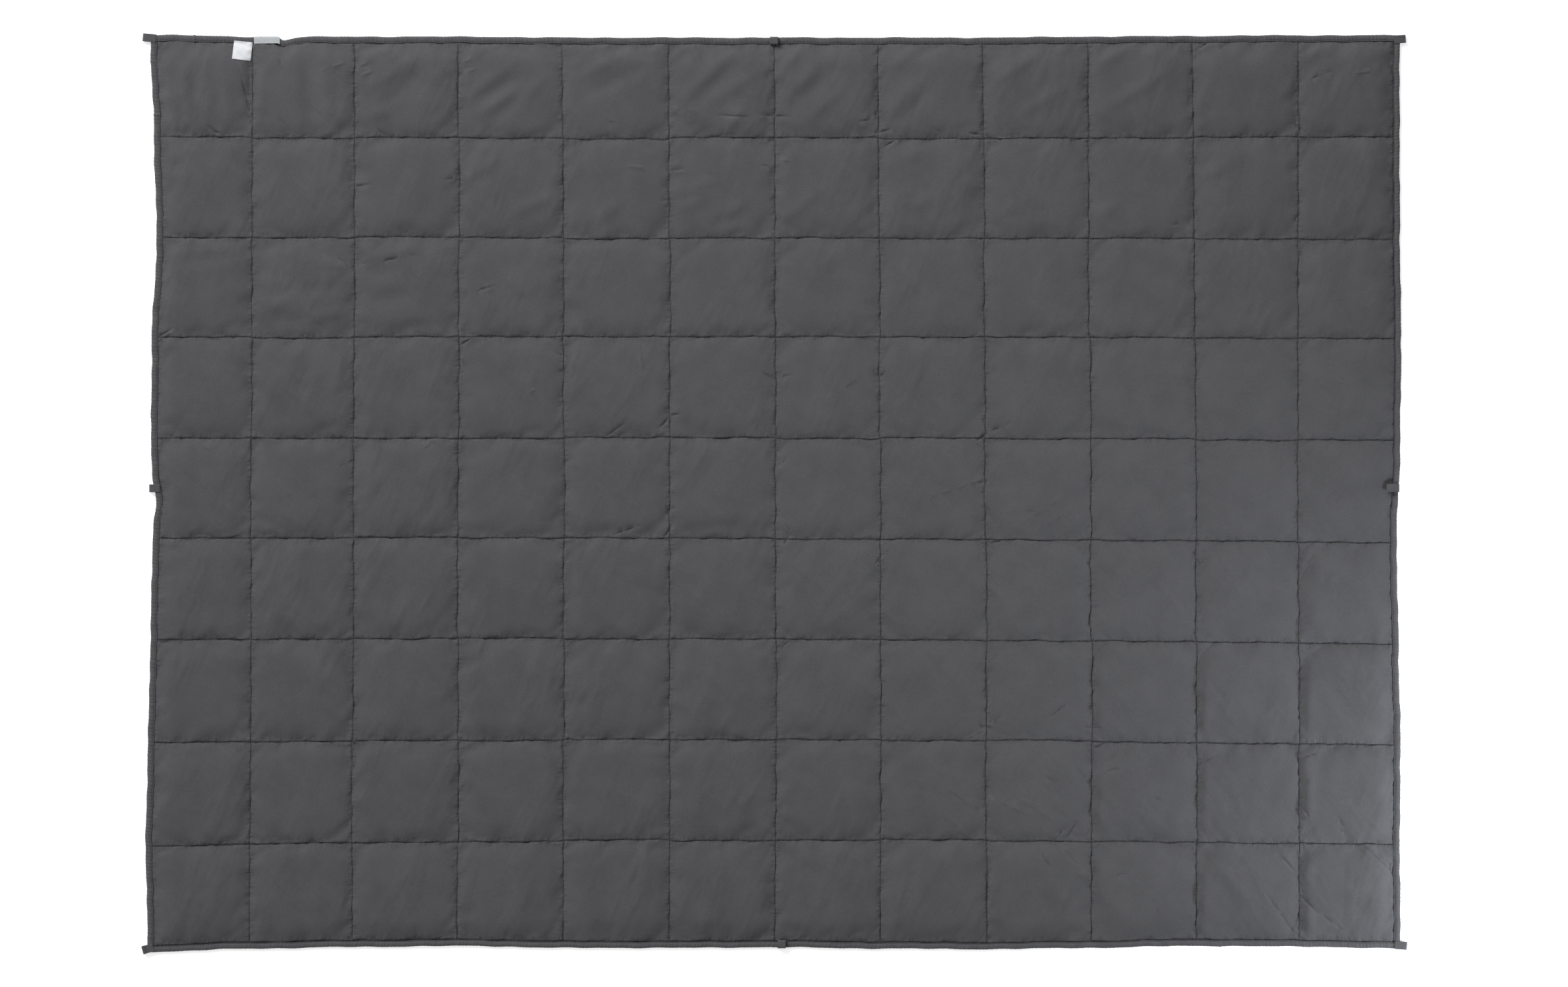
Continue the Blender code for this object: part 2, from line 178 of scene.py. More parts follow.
@dataclass(frozen=True)
class Plan:
    """Where the blanket's edges and seams run, seen from above."""

    columns: int = 12
    rows: int = 9
    rim_inset: float = 2.5
    hem_inset: float = 10.6
    edge_ripple: float = 0.35
    edge_waves: Waves = ((163, 1.0, 1), (271, 0.7, 2), (67, 1.0, 1))
    edge_turn: float = 10.0
    seam_ripple: float = 0.55
    seam_waves: Waves = ((97, 1.0, 1), (211, 0.6, 3))
    seam_fade: float = 0.2  # how soon a channel's ripple sets in from its ends
    seam_jog: float = 0.8
    jog_length: float = 0.05
    jog_seed: int = 100
    first_level: int = 20  # the level channels are numbered from here

    def edge(self, side: Side, share: np.ndarray, inset: float = 0.0) -> np.ndarray:
        """Follow a side's outer edge, or a line inset from it.

        Args:
            side: The side to follow.
            share: Shares of the side's length, 0 to 1.
            inset: How far in from the outer edge.

        Returns:
            The edge's coordinate square to its run, one for each share.
        """
        edge = EDGES[side]
        share = np.asarray(share, dtype=float)
        place = np.clip(share, 0, 1) * (len(edge.reach) - 1)
        left = np.minimum(place.astype(int), len(edge.reach) - 2)
        ease = (1 - np.cos(np.pi * (place - left))) / 2
        reach = np.asarray(edge.reach)
        out = reach[left] + (reach[left + 1] - reach[left]) * ease
        for tuck in edge.tucks:
            spread = np.where(share < tuck.at, tuck.before, tuck.after)
            out = out - tuck.depth * np.exp(-(((share - tuck.at) / spread) ** 2))
        ripple = ripples(share, self.edge_waves, self.edge_turn * list(Side).index(side))
        return edge.place + edge.outward * (out - inset + self.edge_ripple * ripple)

    def seam(self, seam: Seam, number: int, share: np.ndarray, pockets: int) -> np.ndarray:
        """Follow a sewn channel, with the small steps it takes where it crosses the others.

        Args:
            seam: The channel's line.
            number: Its number, which sets its own ripple.
            share: Shares of its length, 0 to 1.
            pockets: How many pockets it passes.

        Returns:
            The channel's coordinate square to its run, one for each share.
        """
        share = np.asarray(share, dtype=float)
        line = seam.place + seam.lean * (share - 0.5) + seam.bow * 4 * share * (1 - share)
        jogs = np.random.default_rng(self.jog_seed + number).normal(0, self.seam_jog, pockets + 1)
        jogs[0] = jogs[-1] = 0
        crossing = np.clip(share, 0, 1) * pockets
        near = np.rint(crossing)
        left = np.clip(near - 1, 0, pockets - 1).astype(int)
        right = np.clip(near, 0, pockets - 1).astype(int)
        ease = np.clip((crossing - near) / (2 * self.jog_length) + 0.5, 0, 1)
        ease = ease * ease * (3 - 2 * ease)
        step = jogs[left] + (jogs[right] - jogs[left]) * ease
        fade = np.sin(np.pi * np.clip(share, 0, 1)) ** self.seam_fade
        return line + step + self.seam_ripple * ripples(share, self.seam_waves, number) * fade

    def across(self, share: np.ndarray) -> np.ndarray:
        """Rule the upright lines at shares of the blanket's depth; a row of x for each."""
        seams = [self.seam(seam, n, share, self.rows) for n, seam in enumerate(UPRIGHT_SEAMS)]
        return self.ruled(Side.TOP.ends, seams, share)

    def upward(self, share: np.ndarray) -> np.ndarray:
        """Rule the level lines.

        Args:
            share: Shares of the blanket's length.

        Returns:
            A row of y for each line.
        """
        numbered = enumerate(LEVEL_SEAMS, self.first_level)
        seams = [self.seam(seam, n, share, self.columns) for n, seam in numbered]
        return self.ruled(Side.LEFT.ends, seams, share)

    def ruled(self, ends: tuple[Side, Side], seams: list[np.ndarray], share: np.ndarray) -> np.ndarray:
        """Set the rims and hems of two sides round the channels between them.

        Args:
            ends: The two sides.
            seams: The channels' lines.
            share: Shares of the lines' length.

        Returns:
            A row for each line: rim, hem, channels, hem, rim.
        """
        insets = (self.rim_inset, self.hem_inset)
        low = [self.edge(ends[0], share, inset) for inset in insets]
        high = [self.edge(ends[1], share, inset) for inset in insets[::-1]]
        return np.array(low + seams + high)

    def point(self, side: Side, at: float) -> tuple[float, float]:
        """Find a place on a side's outer edge.

        Args:
            side: The side.
            at: The place's coordinate along it.

        Returns:
            The place's x and y.
        """
        low, high = (EDGES[end].place for end in side.ends)
        square = float(self.edge(side, np.array((at - low) / (high - low))))
        return (at, square) if side.level else (square, at)


PLAN = Plan()


# ---------------------------------------------------------------- small helpers


def linear(code: str) -> Colour:
    """Turn an sRGB colour to linear light.

    Args:
        code: The colour as #rrggbb.

    Returns:
        Its red, green and blue, and an alpha of 1.
    """
    parts = [int(code[n : n + 2], 16) / 255 for n in (1, 3, 5)]
    red, green, blue = (p / 12.92 if p <= 0.04045 else ((p + 0.055) / 1.055) ** 2.4 for p in parts)
    return (red, green, blue, 1.0)


def node(
    tree: bpy.types.NodeTree,
    kind: str,
    inputs: Optional[dict[Any, Any]] = None,
    **settings: Any,
) -> bpy.types.Node:
    """Add a node, set its properties, and fill or link its inputs.

    Args:
        tree: The material's node tree.
        kind: The node's type name.
        inputs: For each input, by name or number, its value or what is linked to it: an output socket, or
            a node for its first output.
        settings: The node's own properties.

    Returns:
        The new node.
    """
    made = tree.nodes.new(kind)
    for name, value in settings.items():
        setattr(made, name, value)
    for name, value in (inputs or {}).items():
        if isinstance(value, bpy.types.Node):
            value = value.outputs[0]
        if isinstance(value, Socket):
            tree.links.new(value, made.inputs[name])
        else:
            made.inputs[name].default_value = value
    return made


def start_finish(name: str, even: dict[str, Any]) -> tuple[bpy.types.Material, bpy.types.Node]:
    """Start a material.

    Args:
        name: The material's name.
        even: A value for each of the shader's sockets that is the same all over.

    Returns:
        The material and its shader.
    """
    material = bpy.data.materials.new(name)
    material.use_nodes = True
    shader = material.node_tree.nodes["Principled BSDF"]
    for socket, value in even.items():
        shader.inputs[socket].default_value = value
    return material, shader


def coordinates(mesh: bpy.types.Mesh) -> np.ndarray:
    """Read where a mesh's vertices are.

    Args:
        mesh: The mesh.

    Returns:
        Rows of x, y, z in metres.
    """
    flat = np.empty(len(mesh.vertices) * 3)
    mesh.vertices.foreach_get("co", flat)
    return flat.reshape(-1, 3)


def grid_mesh(name: str, points: np.ndarray, uv: np.ndarray) -> bpy.types.Mesh:
    """Make a mesh sheet from a flat grid whose vertices are moved to the given points.

    Args:
        name: The mesh's name.
        points: Millimetres, shaped columns by rows by 3.
        uv: The sheet's own coordinates, shaped columns by rows by 2.

    Returns:
        The mesh, with one UV map.
    """
    columns, rows = points.shape[0] - 1, points.shape[1] - 1
    bm = bmesh.new()
    bmesh.ops.create_grid(bm, x_segments=columns, y_segments=rows, size=0.5)
    mesh = bpy.data.meshes.new(name)
    bm.to_mesh(mesh)
    bm.free()
    flat = coordinates(mesh)
    i = np.rint((flat[:, 0] + 0.5) * columns).astype(int)
    j = np.rint((flat[:, 1] + 0.5) * rows).astype(int)
    mesh.vertices.foreach_set("co", (points[i, j] * MM).ravel())
    corner = np.empty(len(mesh.loops), dtype=int)
    mesh.loops.foreach_get("vertex_index", corner)
    layer = mesh.uv_layers.new(name="UVMap")
    layer.data.foreach_set("uv", uv[i[corner], j[corner]].ravel())
    station = mesh.attributes.new(STATION, "INT", "POINT")
    station.data.foreach_set("value", (i * (rows + 1) + j).astype(np.int32))
    mesh.update()
    return mesh


def make_piece(name: str, bm: bmesh.types.BMesh, material: bpy.types.Material) -> bpy.types.Object:
    """Turn a closed shape into a piece with its faces pointing out.

    Args:
        name: The piece's name.
        bm: Its shape, which is freed.
        material: Its material.

    Returns:
        The piece.
    """
    bmesh.ops.recalc_face_normals(bm, faces=bm.faces[:])
    mesh = bpy.data.meshes.new(name)
    bm.to_mesh(mesh)
    bm.free()
    if STATION in mesh.attributes:
        mesh.attributes.remove(mesh.attributes[STATION])
    mesh.shade_smooth()
    mesh.set_sharp_from_angle(angle=SHARP)
    mesh.materials.append(material)
    piece = bpy.data.objects.new(name, mesh)
    bpy.context.scene.collection.objects.link(piece)
    return piece


def wave(values: np.ndarray, seed: int, pitch: float, uneven: float = 0.35) -> np.ndarray:
    """A row of uneven ripples, from 0 in its furrows to 1 on its ridges.

    Args:
        values: Distances along the run.
        seed: Seed of the unevenness.
        pitch: Mean spacing of the ridges.
        uneven: How far their spacing and height vary.

    Returns:
        One height for each distance.
    """
    draw = np.random.default_rng(seed)
    count = int(np.ptp(values) / pitch) + 4
    knots = values.min() - pitch + pitch * (np.arange(count) + uneven * draw.uniform(-1, 1, count))
    heights = 1 - uneven * draw.uniform(0, 1, count)
    phase = np.interp(values, knots, np.arange(count))
    narrow = 0.6  # below 1, so that the furrows are narrower than the ridges
    return np.abs(np.sin(np.pi * phase)) ** narrow * np.interp(values, knots, heights)


# ---------------------------------------------------------------- finishes


@dataclass(frozen=True)
class BrushedCloth:
    """Polyester microfibre, woven and then brushed.

    The brushed nap scatters the light, so the cloth looks dull and cloudy, and its weave hardly shows.
    """

    pale: str = "#4b4b4d"
    deep: str = "#444446"
    # painted shade: the dark colour that the seams' lines and the furrows between the gathers are mixed
    # toward
    painted_shade: str = "#1f1f21"
    roughness: float = 0.93
    gloss: float = 0.25
    sheen: float = 0.08
    sheen_roughness: float = 0.5
    thread: float = 1.6  # drawn about four times as coarse as the cloth's, so that it shows
    nap: float = 2.0  # size of the brushed nap's grain, drawn coarser too
    cloud: float = 22.0  # cloudy patches in a metre, each about 45 mm across
    heather: float = 0.55  # the nap's share in the colour; the rest is the clouds'
    heather_range: tuple[float, float] = (0.38, 0.62)  # from where it is all deep to where it is all pale
    pucker: float = 7.0  # spacing of the small gathers along a seam
    pucker_stretch: float = 2.5  # how many times as long they are, square to it
    pucker_fade: tuple[float, float] = (0.8, 12.0)  # how far from it they are at their full, and gone
    pucker_shade: float = 0.9  # how dark the painted shade in the furrows between them is
    seam_fade: tuple[float, float] = (0.1, 1.8)  # the same two distances for the seam's dark line of painted shade
    seam_shade: tuple[float, float] = (0.5, 0.95)  # how dark the painted shade in an upright and in a level seam is; the level seams darker, as the light falls from above
    wobble: float = 0.6  # how far the line strays
    wobble_size: float = 3.5
    wrinkle: tuple[float, float, float] = (18.0, 52.0, 50.0)  # a faint wrinkle's width and length
    wrinkle_turns: tuple[float, float] = (-22.0, 38.0)  # the two ways they lean, in degrees
    wrinkle_patch: float = 0.3  # scale of the patches that they keep to, as a share of theirs
    # strength and rise in metres of the gathers, the wrinkles, the nap and the weave
    relief: tuple[tuple[float, float], ...] = ((1.0, 0.003), (1.0, 0.0025), (0.3, 0.0002), (0.25, 0.0002))

    def make(self) -> bpy.types.Material:
        """Build the material; its UV map counts pockets, so a seam lies at each whole number.

        Returns:
            The material.
        """
        material, shader = start_finish(
            "brushed_microfibre",
            {
                "Roughness": self.roughness,
                "Specular IOR Level": self.gloss,
                "Sheen Weight": self.sheen,
                "Sheen Roughness": self.sheen_roughness,
            },
        )
        tree = material.node_tree
        place = node(tree, "ShaderNodeTexCoord").outputs["Object"]
        gathers, seam = self.sewing(tree, place)
        ground, nap, weave = self.weave(tree, place)
        # painted shade: the seams' lines and the furrows between the gathers are darkened toward the shade
        # colour
        shade = node(tree, "ShaderNodeMath", {0: gathers, 1: -self.pucker_shade}, operation="MULTIPLY")
        dark = node(tree, "ShaderNodeMath", {0: shade, 1: seam}, operation="MAXIMUM", use_clamp=True)
        tones = {0: dark, 6: ground, 7: linear(self.painted_shade)}
        sewn = node(tree, "ShaderNodeMix", tones, data_type="RGBA").outputs[2]
        tree.links.new(sewn, shader.inputs["Base Color"])
        below: dict[str, Any] = {}
        for height, (strength, rise) in zip((gathers, self.wrinkles(tree, place), nap, weave), self.relief):
            raised = {"Strength": strength, "Distance": rise, "Height": height}
            below = {"Normal": node(tree, "ShaderNodeBump", {**raised, **below}).outputs[0]}
        tree.links.new(below["Normal"], shader.inputs["Normal"])
        return material

    def sewing(self, tree: bpy.types.NodeTree, place: Socket) -> tuple[bpy.types.Node, bpy.types.Node]:
        """Draw the small gathers beside the seams, and the painted shade of the seams' dark line.

        Args:
            tree: The material's node tree.
            place: The surface's place in metres.

        Returns:
            The gathers' height, and how dark the line's painted shade is.
        """
        uv = node(tree, "ShaderNodeUVMap", uv_map="UVMap")
        apart = node(tree, "ShaderNodeSeparateXYZ", {0: uv}).outputs
        noise = node(tree, "ShaderNodeTexNoise", {0: place, "Scale": 1000 / self.wobble_size, "Detail": 2.0})
        half = self.wobble / 2
        aside = node(tree, "ShaderNodeMapRange", {0: noise, 1: 0.3, 2: 0.7, 3: -half, 4: half})
        gathers, lines = [], []
        for way, size in enumerate(POCKET):
            # distance in millimetres to the nearest seam that runs the other way
            share = node(tree, "ShaderNodeMath", {0: apart[way], 1: 0.5}, operation="PINGPONG")
            away = node(tree, "ShaderNodeMath", {0: share, 1: size}, operation="MULTIPLY")
            scale = [1000 / self.pucker] * 3
            scale[way] /= self.pucker_stretch
            stretched = node(tree, "ShaderNodeMapping", {0: place, 3: scale})
            gather = node(tree, "ShaderNodeTexNoise", {0: stretched, "Scale": 1.0, "Detail": 2.5})
            swing = node(tree, "ShaderNodeMath", {0: gather, 1: 0.5}, operation="SUBTRACT")
            full, gone = self.pucker_fade
            fade = {0: away, 1: full, 2: gone, 3: 1.0, 4: 0.0}
            reach = node(tree, "ShaderNodeMapRange", fade, interpolation_type="SMOOTHSTEP")
            gathers.append(node(tree, "ShaderNodeMath", {0: swing, 1: reach}, operation="MULTIPLY"))
            # the seam's dark line is painted shade, its edge strayed a little by the noise
            strayed = node(tree, "ShaderNodeMath", {0: away, 1: aside}, operation="ADD")
            full, gone = self.seam_fade
            fade = {0: strayed, 1: full, 2: gone, 3: self.seam_shade[way], 4: 0.0}
            lines.append(node(tree, "ShaderNodeMapRange", fade))
        gathered = node(tree, "ShaderNodeMath", {0: gathers[0], 1: gathers[1]}, operation="ADD")
        return gathered, node(tree, "ShaderNodeMath", {0: lines[0], 1: lines[1]}, operation="MAXIMUM")

    def weave(
        self, tree: bpy.types.NodeTree, place: Socket
    ) -> tuple[Socket, bpy.types.Node, bpy.types.Node]:
        """Draw the cloth between its seams.

        Args:
            tree: The material's node tree.
            place: The surface's place in metres.

        Returns:
            Its colour, its nap's height and its threads' height.
        """
        nap = node(tree, "ShaderNodeTexNoise", {0: place, "Scale": 1000 / self.nap, "Detail": 2.0})
        cloud = node(
            tree, "ShaderNodeTexNoise", {0: place, "Scale": self.cloud, "Detail": 4.0, "Roughness": 0.6}
        )
        scale = 1000 * BAND / self.thread
        wavy = {0: place, "Scale": scale, "Distortion": 2.0, "Detail": 1.0, "Detail Scale": 3.0}
        yarns = [
            node(tree, "ShaderNodeTexWave", wavy, wave_type="BANDS", bands_direction=way).outputs[1]
            for way in "XY"
        ]
        threads = node(tree, "ShaderNodeMath", {0: yarns[0], 1: yarns[1]}, operation="MULTIPLY")
        mixed = node(tree, "ShaderNodeMix", {0: self.heather, 2: cloud, 3: nap}, data_type="FLOAT")
        low, high = self.heather_range
        spread = node(tree, "ShaderNodeMapRange", {0: mixed, 1: low, 2: high, 3: 0.0, 4: 1.0})
        tones = {0: spread, 6: linear(self.deep), 7: linear(self.pale)}
        return node(tree, "ShaderNodeMix", tones, data_type="RGBA").outputs[2], nap, threads

    def wrinkles(self, tree: bpy.types.NodeTree, place: Socket) -> bpy.types.Node:
        """Draw faint wrinkles, finer than the mesh, that run two ways, each in patches of its own.

        Args:
            tree: The material's node tree.
            place: The surface's place in metres.

        Returns:
            Their height.
        """
        size = [length * MM for length in self.wrinkle]
        ways = []
        for number, turn in enumerate(self.wrinkle_turns):
            leaning = {0: place, 1: (number, 0, 0), 2: (0, 0, math.radians(turn)), 3: size}
            stretched = node(tree, "ShaderNodeMapping", leaning, vector_type="TEXTURE")
            lines = node(tree, "ShaderNodeTexNoise", {0: stretched, "Scale": 1.0, "Detail": 1.2})
            wide = {0: stretched, "Scale": self.wrinkle_patch, "Detail": 0.0}
            patch = node(tree, "ShaderNodeTexNoise", wide)
            share = node(tree, "ShaderNodeMapRange", {0: patch, 1: 0.45, 2: 0.65, 3: 0.05, 4: 1.0})
            ways.append(node(tree, "ShaderNodeMath", {0: lines, 1: share}, operation="MULTIPLY"))
        return node(tree, "ShaderNodeMath", {0: ways[0], 1: ways[1]}, operation="ADD")


@dataclass(frozen=True)
class WovenTape:
    """A narrow woven tape, or a thread: fine ribs across it, and a little heather in its yarn."""

    name: str
    ground: str
    deep: str
    rib: float = 1.2  # drawn about twice as coarse as the yarn, so that it shows
    roughness: float = 0.9
    gloss: float = 0.25
    sheen: float = 0.05
    yarn: tuple[float, float, float] = (0.9, 0.25, 1.0)  # slubs in a millimetre, along the tape and across
    cloud: float = 0.06  # cloudy patches in a millimetre, each about 17 mm long
    heather: float = 0.5  # the yarn's share in the colour; the rest is the clouds'
    heather_range: tuple[float, float] = (0.35, 0.62)  # from where it is all deep to where it is all ground
    # strength and rise in metres of the ribs and of the yarn
    relief: tuple[tuple[float, float], ...] = ((0.4, 0.0002), (0.4, 0.0003))

    def make(self) -> bpy.types.Material:
        """Build the material; its UV map runs in millimetres, along and across the tape.

        Returns:
            The material.
        """
        material, shader = start_finish(
            self.name,
            {"Roughness": self.roughness, "Specular IOR Level": self.gloss, "Sheen Weight": self.sheen},
        )
        tree = material.node_tree
        uv = node(tree, "ShaderNodeUVMap", uv_map="UVMap")
        wavy = {0: uv, "Scale": BAND / self.rib, "Distortion": 1.0, "Detail": 1.0}
        ribs = node(tree, "ShaderNodeTexWave", wavy, wave_type="BANDS", bands_direction="X").outputs[1]
        stretched = node(tree, "ShaderNodeMapping", {0: uv, 3: self.yarn})
        yarn = node(
            tree, "ShaderNodeTexNoise", {0: stretched, "Scale": 1.0, "Detail": 3.0, "Roughness": 0.7}
        )
        cloud = node(tree, "ShaderNodeTexNoise", {0: uv, "Scale": self.cloud, "Detail": 2.0})
        mixed = node(tree, "ShaderNodeMix", {0: self.heather, 2: cloud, 3: yarn}, data_type="FLOAT")
        low, high = self.heather_range
        spread = node(tree, "ShaderNodeMapRange", {0: mixed, 1: low, 2: high, 3: 0.0, 4: 1.0})
        tones = {0: spread, 6: linear(self.deep), 7: linear(self.ground)}
        tone = node(tree, "ShaderNodeMix", tones, data_type="RGBA").outputs[2]
        tree.links.new(tone, shader.inputs["Base Color"])
        below: dict[str, Any] = {}
        for height, (strength, rise) in zip((ribs, yarn), self.relief):
            raised = {"Strength": strength, "Distance": rise, "Height": height}
            below = {"Normal": node(tree, "ShaderNodeBump", {**raised, **below}).outputs[0]}
        tree.links.new(below["Normal"], shader.inputs["Normal"])
        return material


# polyester tape woven with ribs: dull, a shade paler than the cloth, and the ribs catch the light
BINDING_TAPE = WovenTape("woven_binding", "#4f4f51", "#434345")
# the same yarn in a plain flat tape: as dull, and smoother, because its ribs are finer
LOOP_TAPE = WovenTape("woven_loop_tape", "#4e4e50", "#424244", rib=0.9)
# polyester satin, whose long smooth floats give white cloth a broad soft shine
SATIN = WovenTape("white_satin", "#c6c8cb", "#bcbec2", rib=0.7, roughness=0.5, heather=0.3)
# ribbon woven from pale and darker yarn mixed: speckled grey with hardly a shine
RIBBON = WovenTape("grey_heather_ribbon", "#abaeb1", "#94979a", rib=0.8, roughness=0.8, heather=0.8)
# spun polyester, twisted: darker than the cloth that it is sewn into, so each stitch reads as a dash
THREAD = WovenTape("twisted_thread", "#3a3a3c", "#2d2d2f", rib=0.5, roughness=0.7)


# ---------------------------------------------------------------- the quilted body


class Fold(Enum):
    """A kind of fold in the cloth: its half width, its rise, and the rise of the cloth beside it."""

    DRAPE = (7.5, 3.0, 0.0)
    HOLLOW = (9.0, -2.7, 0.0)
    WEDGE = (8.0, -5.6, 0.0)
    CREASE = (1.5, -1.6, 0.8)
    LINE = (1.7, 1.2, -0.5)

    @property
    def narrow(self) -> bool:
        """Whether the fold needs a finer mesh than the panel's own."""
        return self.value[0] < 5


# Each fold's two ends: x and y of one, then of the other
FOLDS: dict[Fold, tuple[tuple[int, int, int, int], ...]] = {
    Fold.DRAPE: (
        (-961, 703, -954, 592), (-926, 692, -920, 597), (-895, 687, -888, 602), (-786, 724, -771, 629),
        (-835, 692, -839, 597), (-731, 698, -726, 607), (-673, 710, -619, 729), (-665, 657, -582, 710),
        (-667, 615, -625, 625), (-502, 645, -421, 703), (-489, 611, -406, 668), (-423, 625, -368, 685),
        (-502, 715, -451, 732), (-334, 715, -241, 740), (-330, 670, -230, 723), (-158, 632, -63, 725),
        (-109, 636, -18, 689), (-86, 587, -39, 636), (7, 634, 84, 710), (14, 693, 56, 736),
        (44, 602, 122, 668), (181, 606, 237, 679), (184, 685, 226, 727), (355, 664, 440, 725),
        (385, 608, 483, 668), (517, 693, 589, 734), (529, 619, 650, 693), (856, 698, 897, 734),
        (880, 706, 920, 738), (-532, 521, -512, 534), (-510, 515, -442, 545), (-438, 449, -355, 488),
        (-294, 441, -245, 477), (-164, 488, -90, 509), (-160, 458, -103, 488), (-86, 445, -44, 479),
        (12, 441, 77, 498), (211, 541, 243, 562), (222, 462, 260, 488), (370, 451, 402, 477),
        (529, 456, 561, 471), (699, 515, 737, 536), (-763, 384, -685, 367), (-829, 299, -756, 337),
        (-763, 282, -686, 301), (-672, 381, -572, 401), (-1001, 231, -973, 252), (434, -631, 483, -675),
        (529, -648, 589, -707), (718, -603, 790, -686), (362, -268, 359, -388), (531, -262, 530, -392),
        (702, -270, 700, -396), (870, -276, 871, -380), (359, -436, 361, -556), (532, -430, 529, -548),
        (701, -426, 702, -560), (872, -434, 869, -540), (360, -600, 358, -716), (529, -592, 531, -640),
        (700, -588, 701, -718), (871, -586, 869, -628), (870, -664, 872, -722),
    ),
    Fold.HOLLOW: (
        (-947, 706, -942, 592), (-975, 650, -952, 586), (-761, 714, -754, 586), (-715, 585, -683, 602),
        (-648, 621, -567, 695), (-495, 628, -413, 685), (-471, 597, -397, 655), (-319, 642, -198, 702),
        (-141, 625, -46, 715), (24, 623, 107, 698), (198, 598, 258, 664), (869, 693, 909, 729),
        (850, 613, 858, 586), (-109, 434, -50, 454), (-984, 375, -867, 388), (-748, 396, -685, 375),
        (-833, 318, -689, 341), (-827, 288, -726, 275), (-667, 367, -621, 352), (-665, 314, -576, 326),
        (-636, 268, -525, 277), (-307, -58, -190, -64), (-147, -58, -41, -51),
    ),
    Fold.WEDGE: ((-857, 704, -853, 632),),
    Fold.CREASE: (
        (-916, 590, -902, 585), (-920, 596, -907, 587), (-873, 698, -853, 623), (-807, 710, -799, 686),
        (-811, 617, -784, 584), (-752, 629, -728, 602), (-651, 596, -636, 585), (-186, 615, -152, 617),
        (-94, 616, -41, 612), (-29, 616, 29, 613), (137, 605, 156, 608), (158, 615, 184, 619),
        (256, 596, 271, 587), (691, 722, 708, 735), (727, 723, 740, 740), (858, 669, 909, 687),
        (846, 602, 865, 588), (-701, 498, -655, 503), (-540, 510, -502, 515), (-349, 496, -326, 494),
        (-186, 476, -145, 483), (-170, 526, -145, 528), (-22, 534, 3, 530), (179, 564, 201, 577),
        (644, 436, 686, 444), (846, 447, 860, 456), (160, 586, 194, 593), (313, 587, 347, 583),
        (-731, 388, -684, 371), (-683, 371, -582, 388), (-504, 324, -451, 339), (-1005, 254, -977, 269),
        (-517, 239, -493, 252), (-516, 218, -501, 212), (-516, 152, -491, 160), (-362, 228, -320, 221),
        (-345, 207, -326, 208), (-349, 194, -326, 186), (-277, 90, -241, 117), (-186, 108, -169, 126),
        (-171, 127, -152, 129), (-29, 198, 3, 187), (-1, 188, 31, 193), (171, 190, 192, 203),
        (147, 200, 173, 190), (328, 84, 347, 101), (345, 100, 389, 115), (-867, 30, -849, 39),
        (-706, 44, -683, 55), (4, 44, 24, 57), (-192, -21, -167, -28), (-171, -28, -150, -18),
        (-181, -75, -167, -54), (14, -43, 25, -62), (24, -60, 17, -85), (317, 14, 349, 21),
        (-264, -68, -216, -51), (345, -376, 372, -362), (449, -364, 481, -339), (321, -377, 349, -382),
        (498, -380, 534, -382), (680, -379, 703, -381), (434, -457, 466, -476), (491, -446, 506, -465),
        (472, -567, 495, -531), (455, -567, 472, -544), (512, -419, 544, -403), (519, -455, 568, -447),
        (612, -495, 636, -502), (689, -445, 727, -421), (854, -433, 886, -421), (854, -503, 873, -530),
        (918, -525, 930, -559), (423, -573, 455, -616), (472, -580, 498, -610), (544, -624, 572, -619),
        (614, -658, 629, -694), (793, -641, 848, -718), (820, -584, 848, -616), (854, -652, 886, -684),
        (882, -680, 930, -714), (958, -573, 1017, -627), (689, -117, 703, -107), (156, -118, 174, -107),
        (17, -83, 27, -66), (343, -83, 377, -76), (11, -255, 25, -238), (330, 86, 347, 97),
    ),
    Fold.LINE: (
        (-740, 689, -693, 703), (-680, 693, -655, 706), (-678, 679, -648, 689), (-529, 686, -502, 689),
        (-510, 702, -479, 712), (-510, 685, -485, 691), (-281, 610, -258, 606), (-160, 627, -131, 622),
        (943, 684, 990, 690), (-245, 533, -188, 529), (5, 544, 29, 542), (-468, 347, -459, 282),
        (-404, 163, -387, 170), (-222, 257, -211, 156), (105, 168, 137, 190), (-940, 89, -920, 69),
        (-569, 74, -557, 88), (222, -15, 334, 21), (372, -30, 440, -23), (402, -47, 481, 2),
        (425, -58, 500, -20), (307, -402, 347, -381), (355, -495, 419, -525), (389, -489, 472, -542),
        (434, -478, 451, -495), (264, -467, 334, -514), (529, -512, 568, -524), (773, -476, 801, -468),
        (487, -612, 508, -627), (971, -576, 1020, -614),
    ),
}


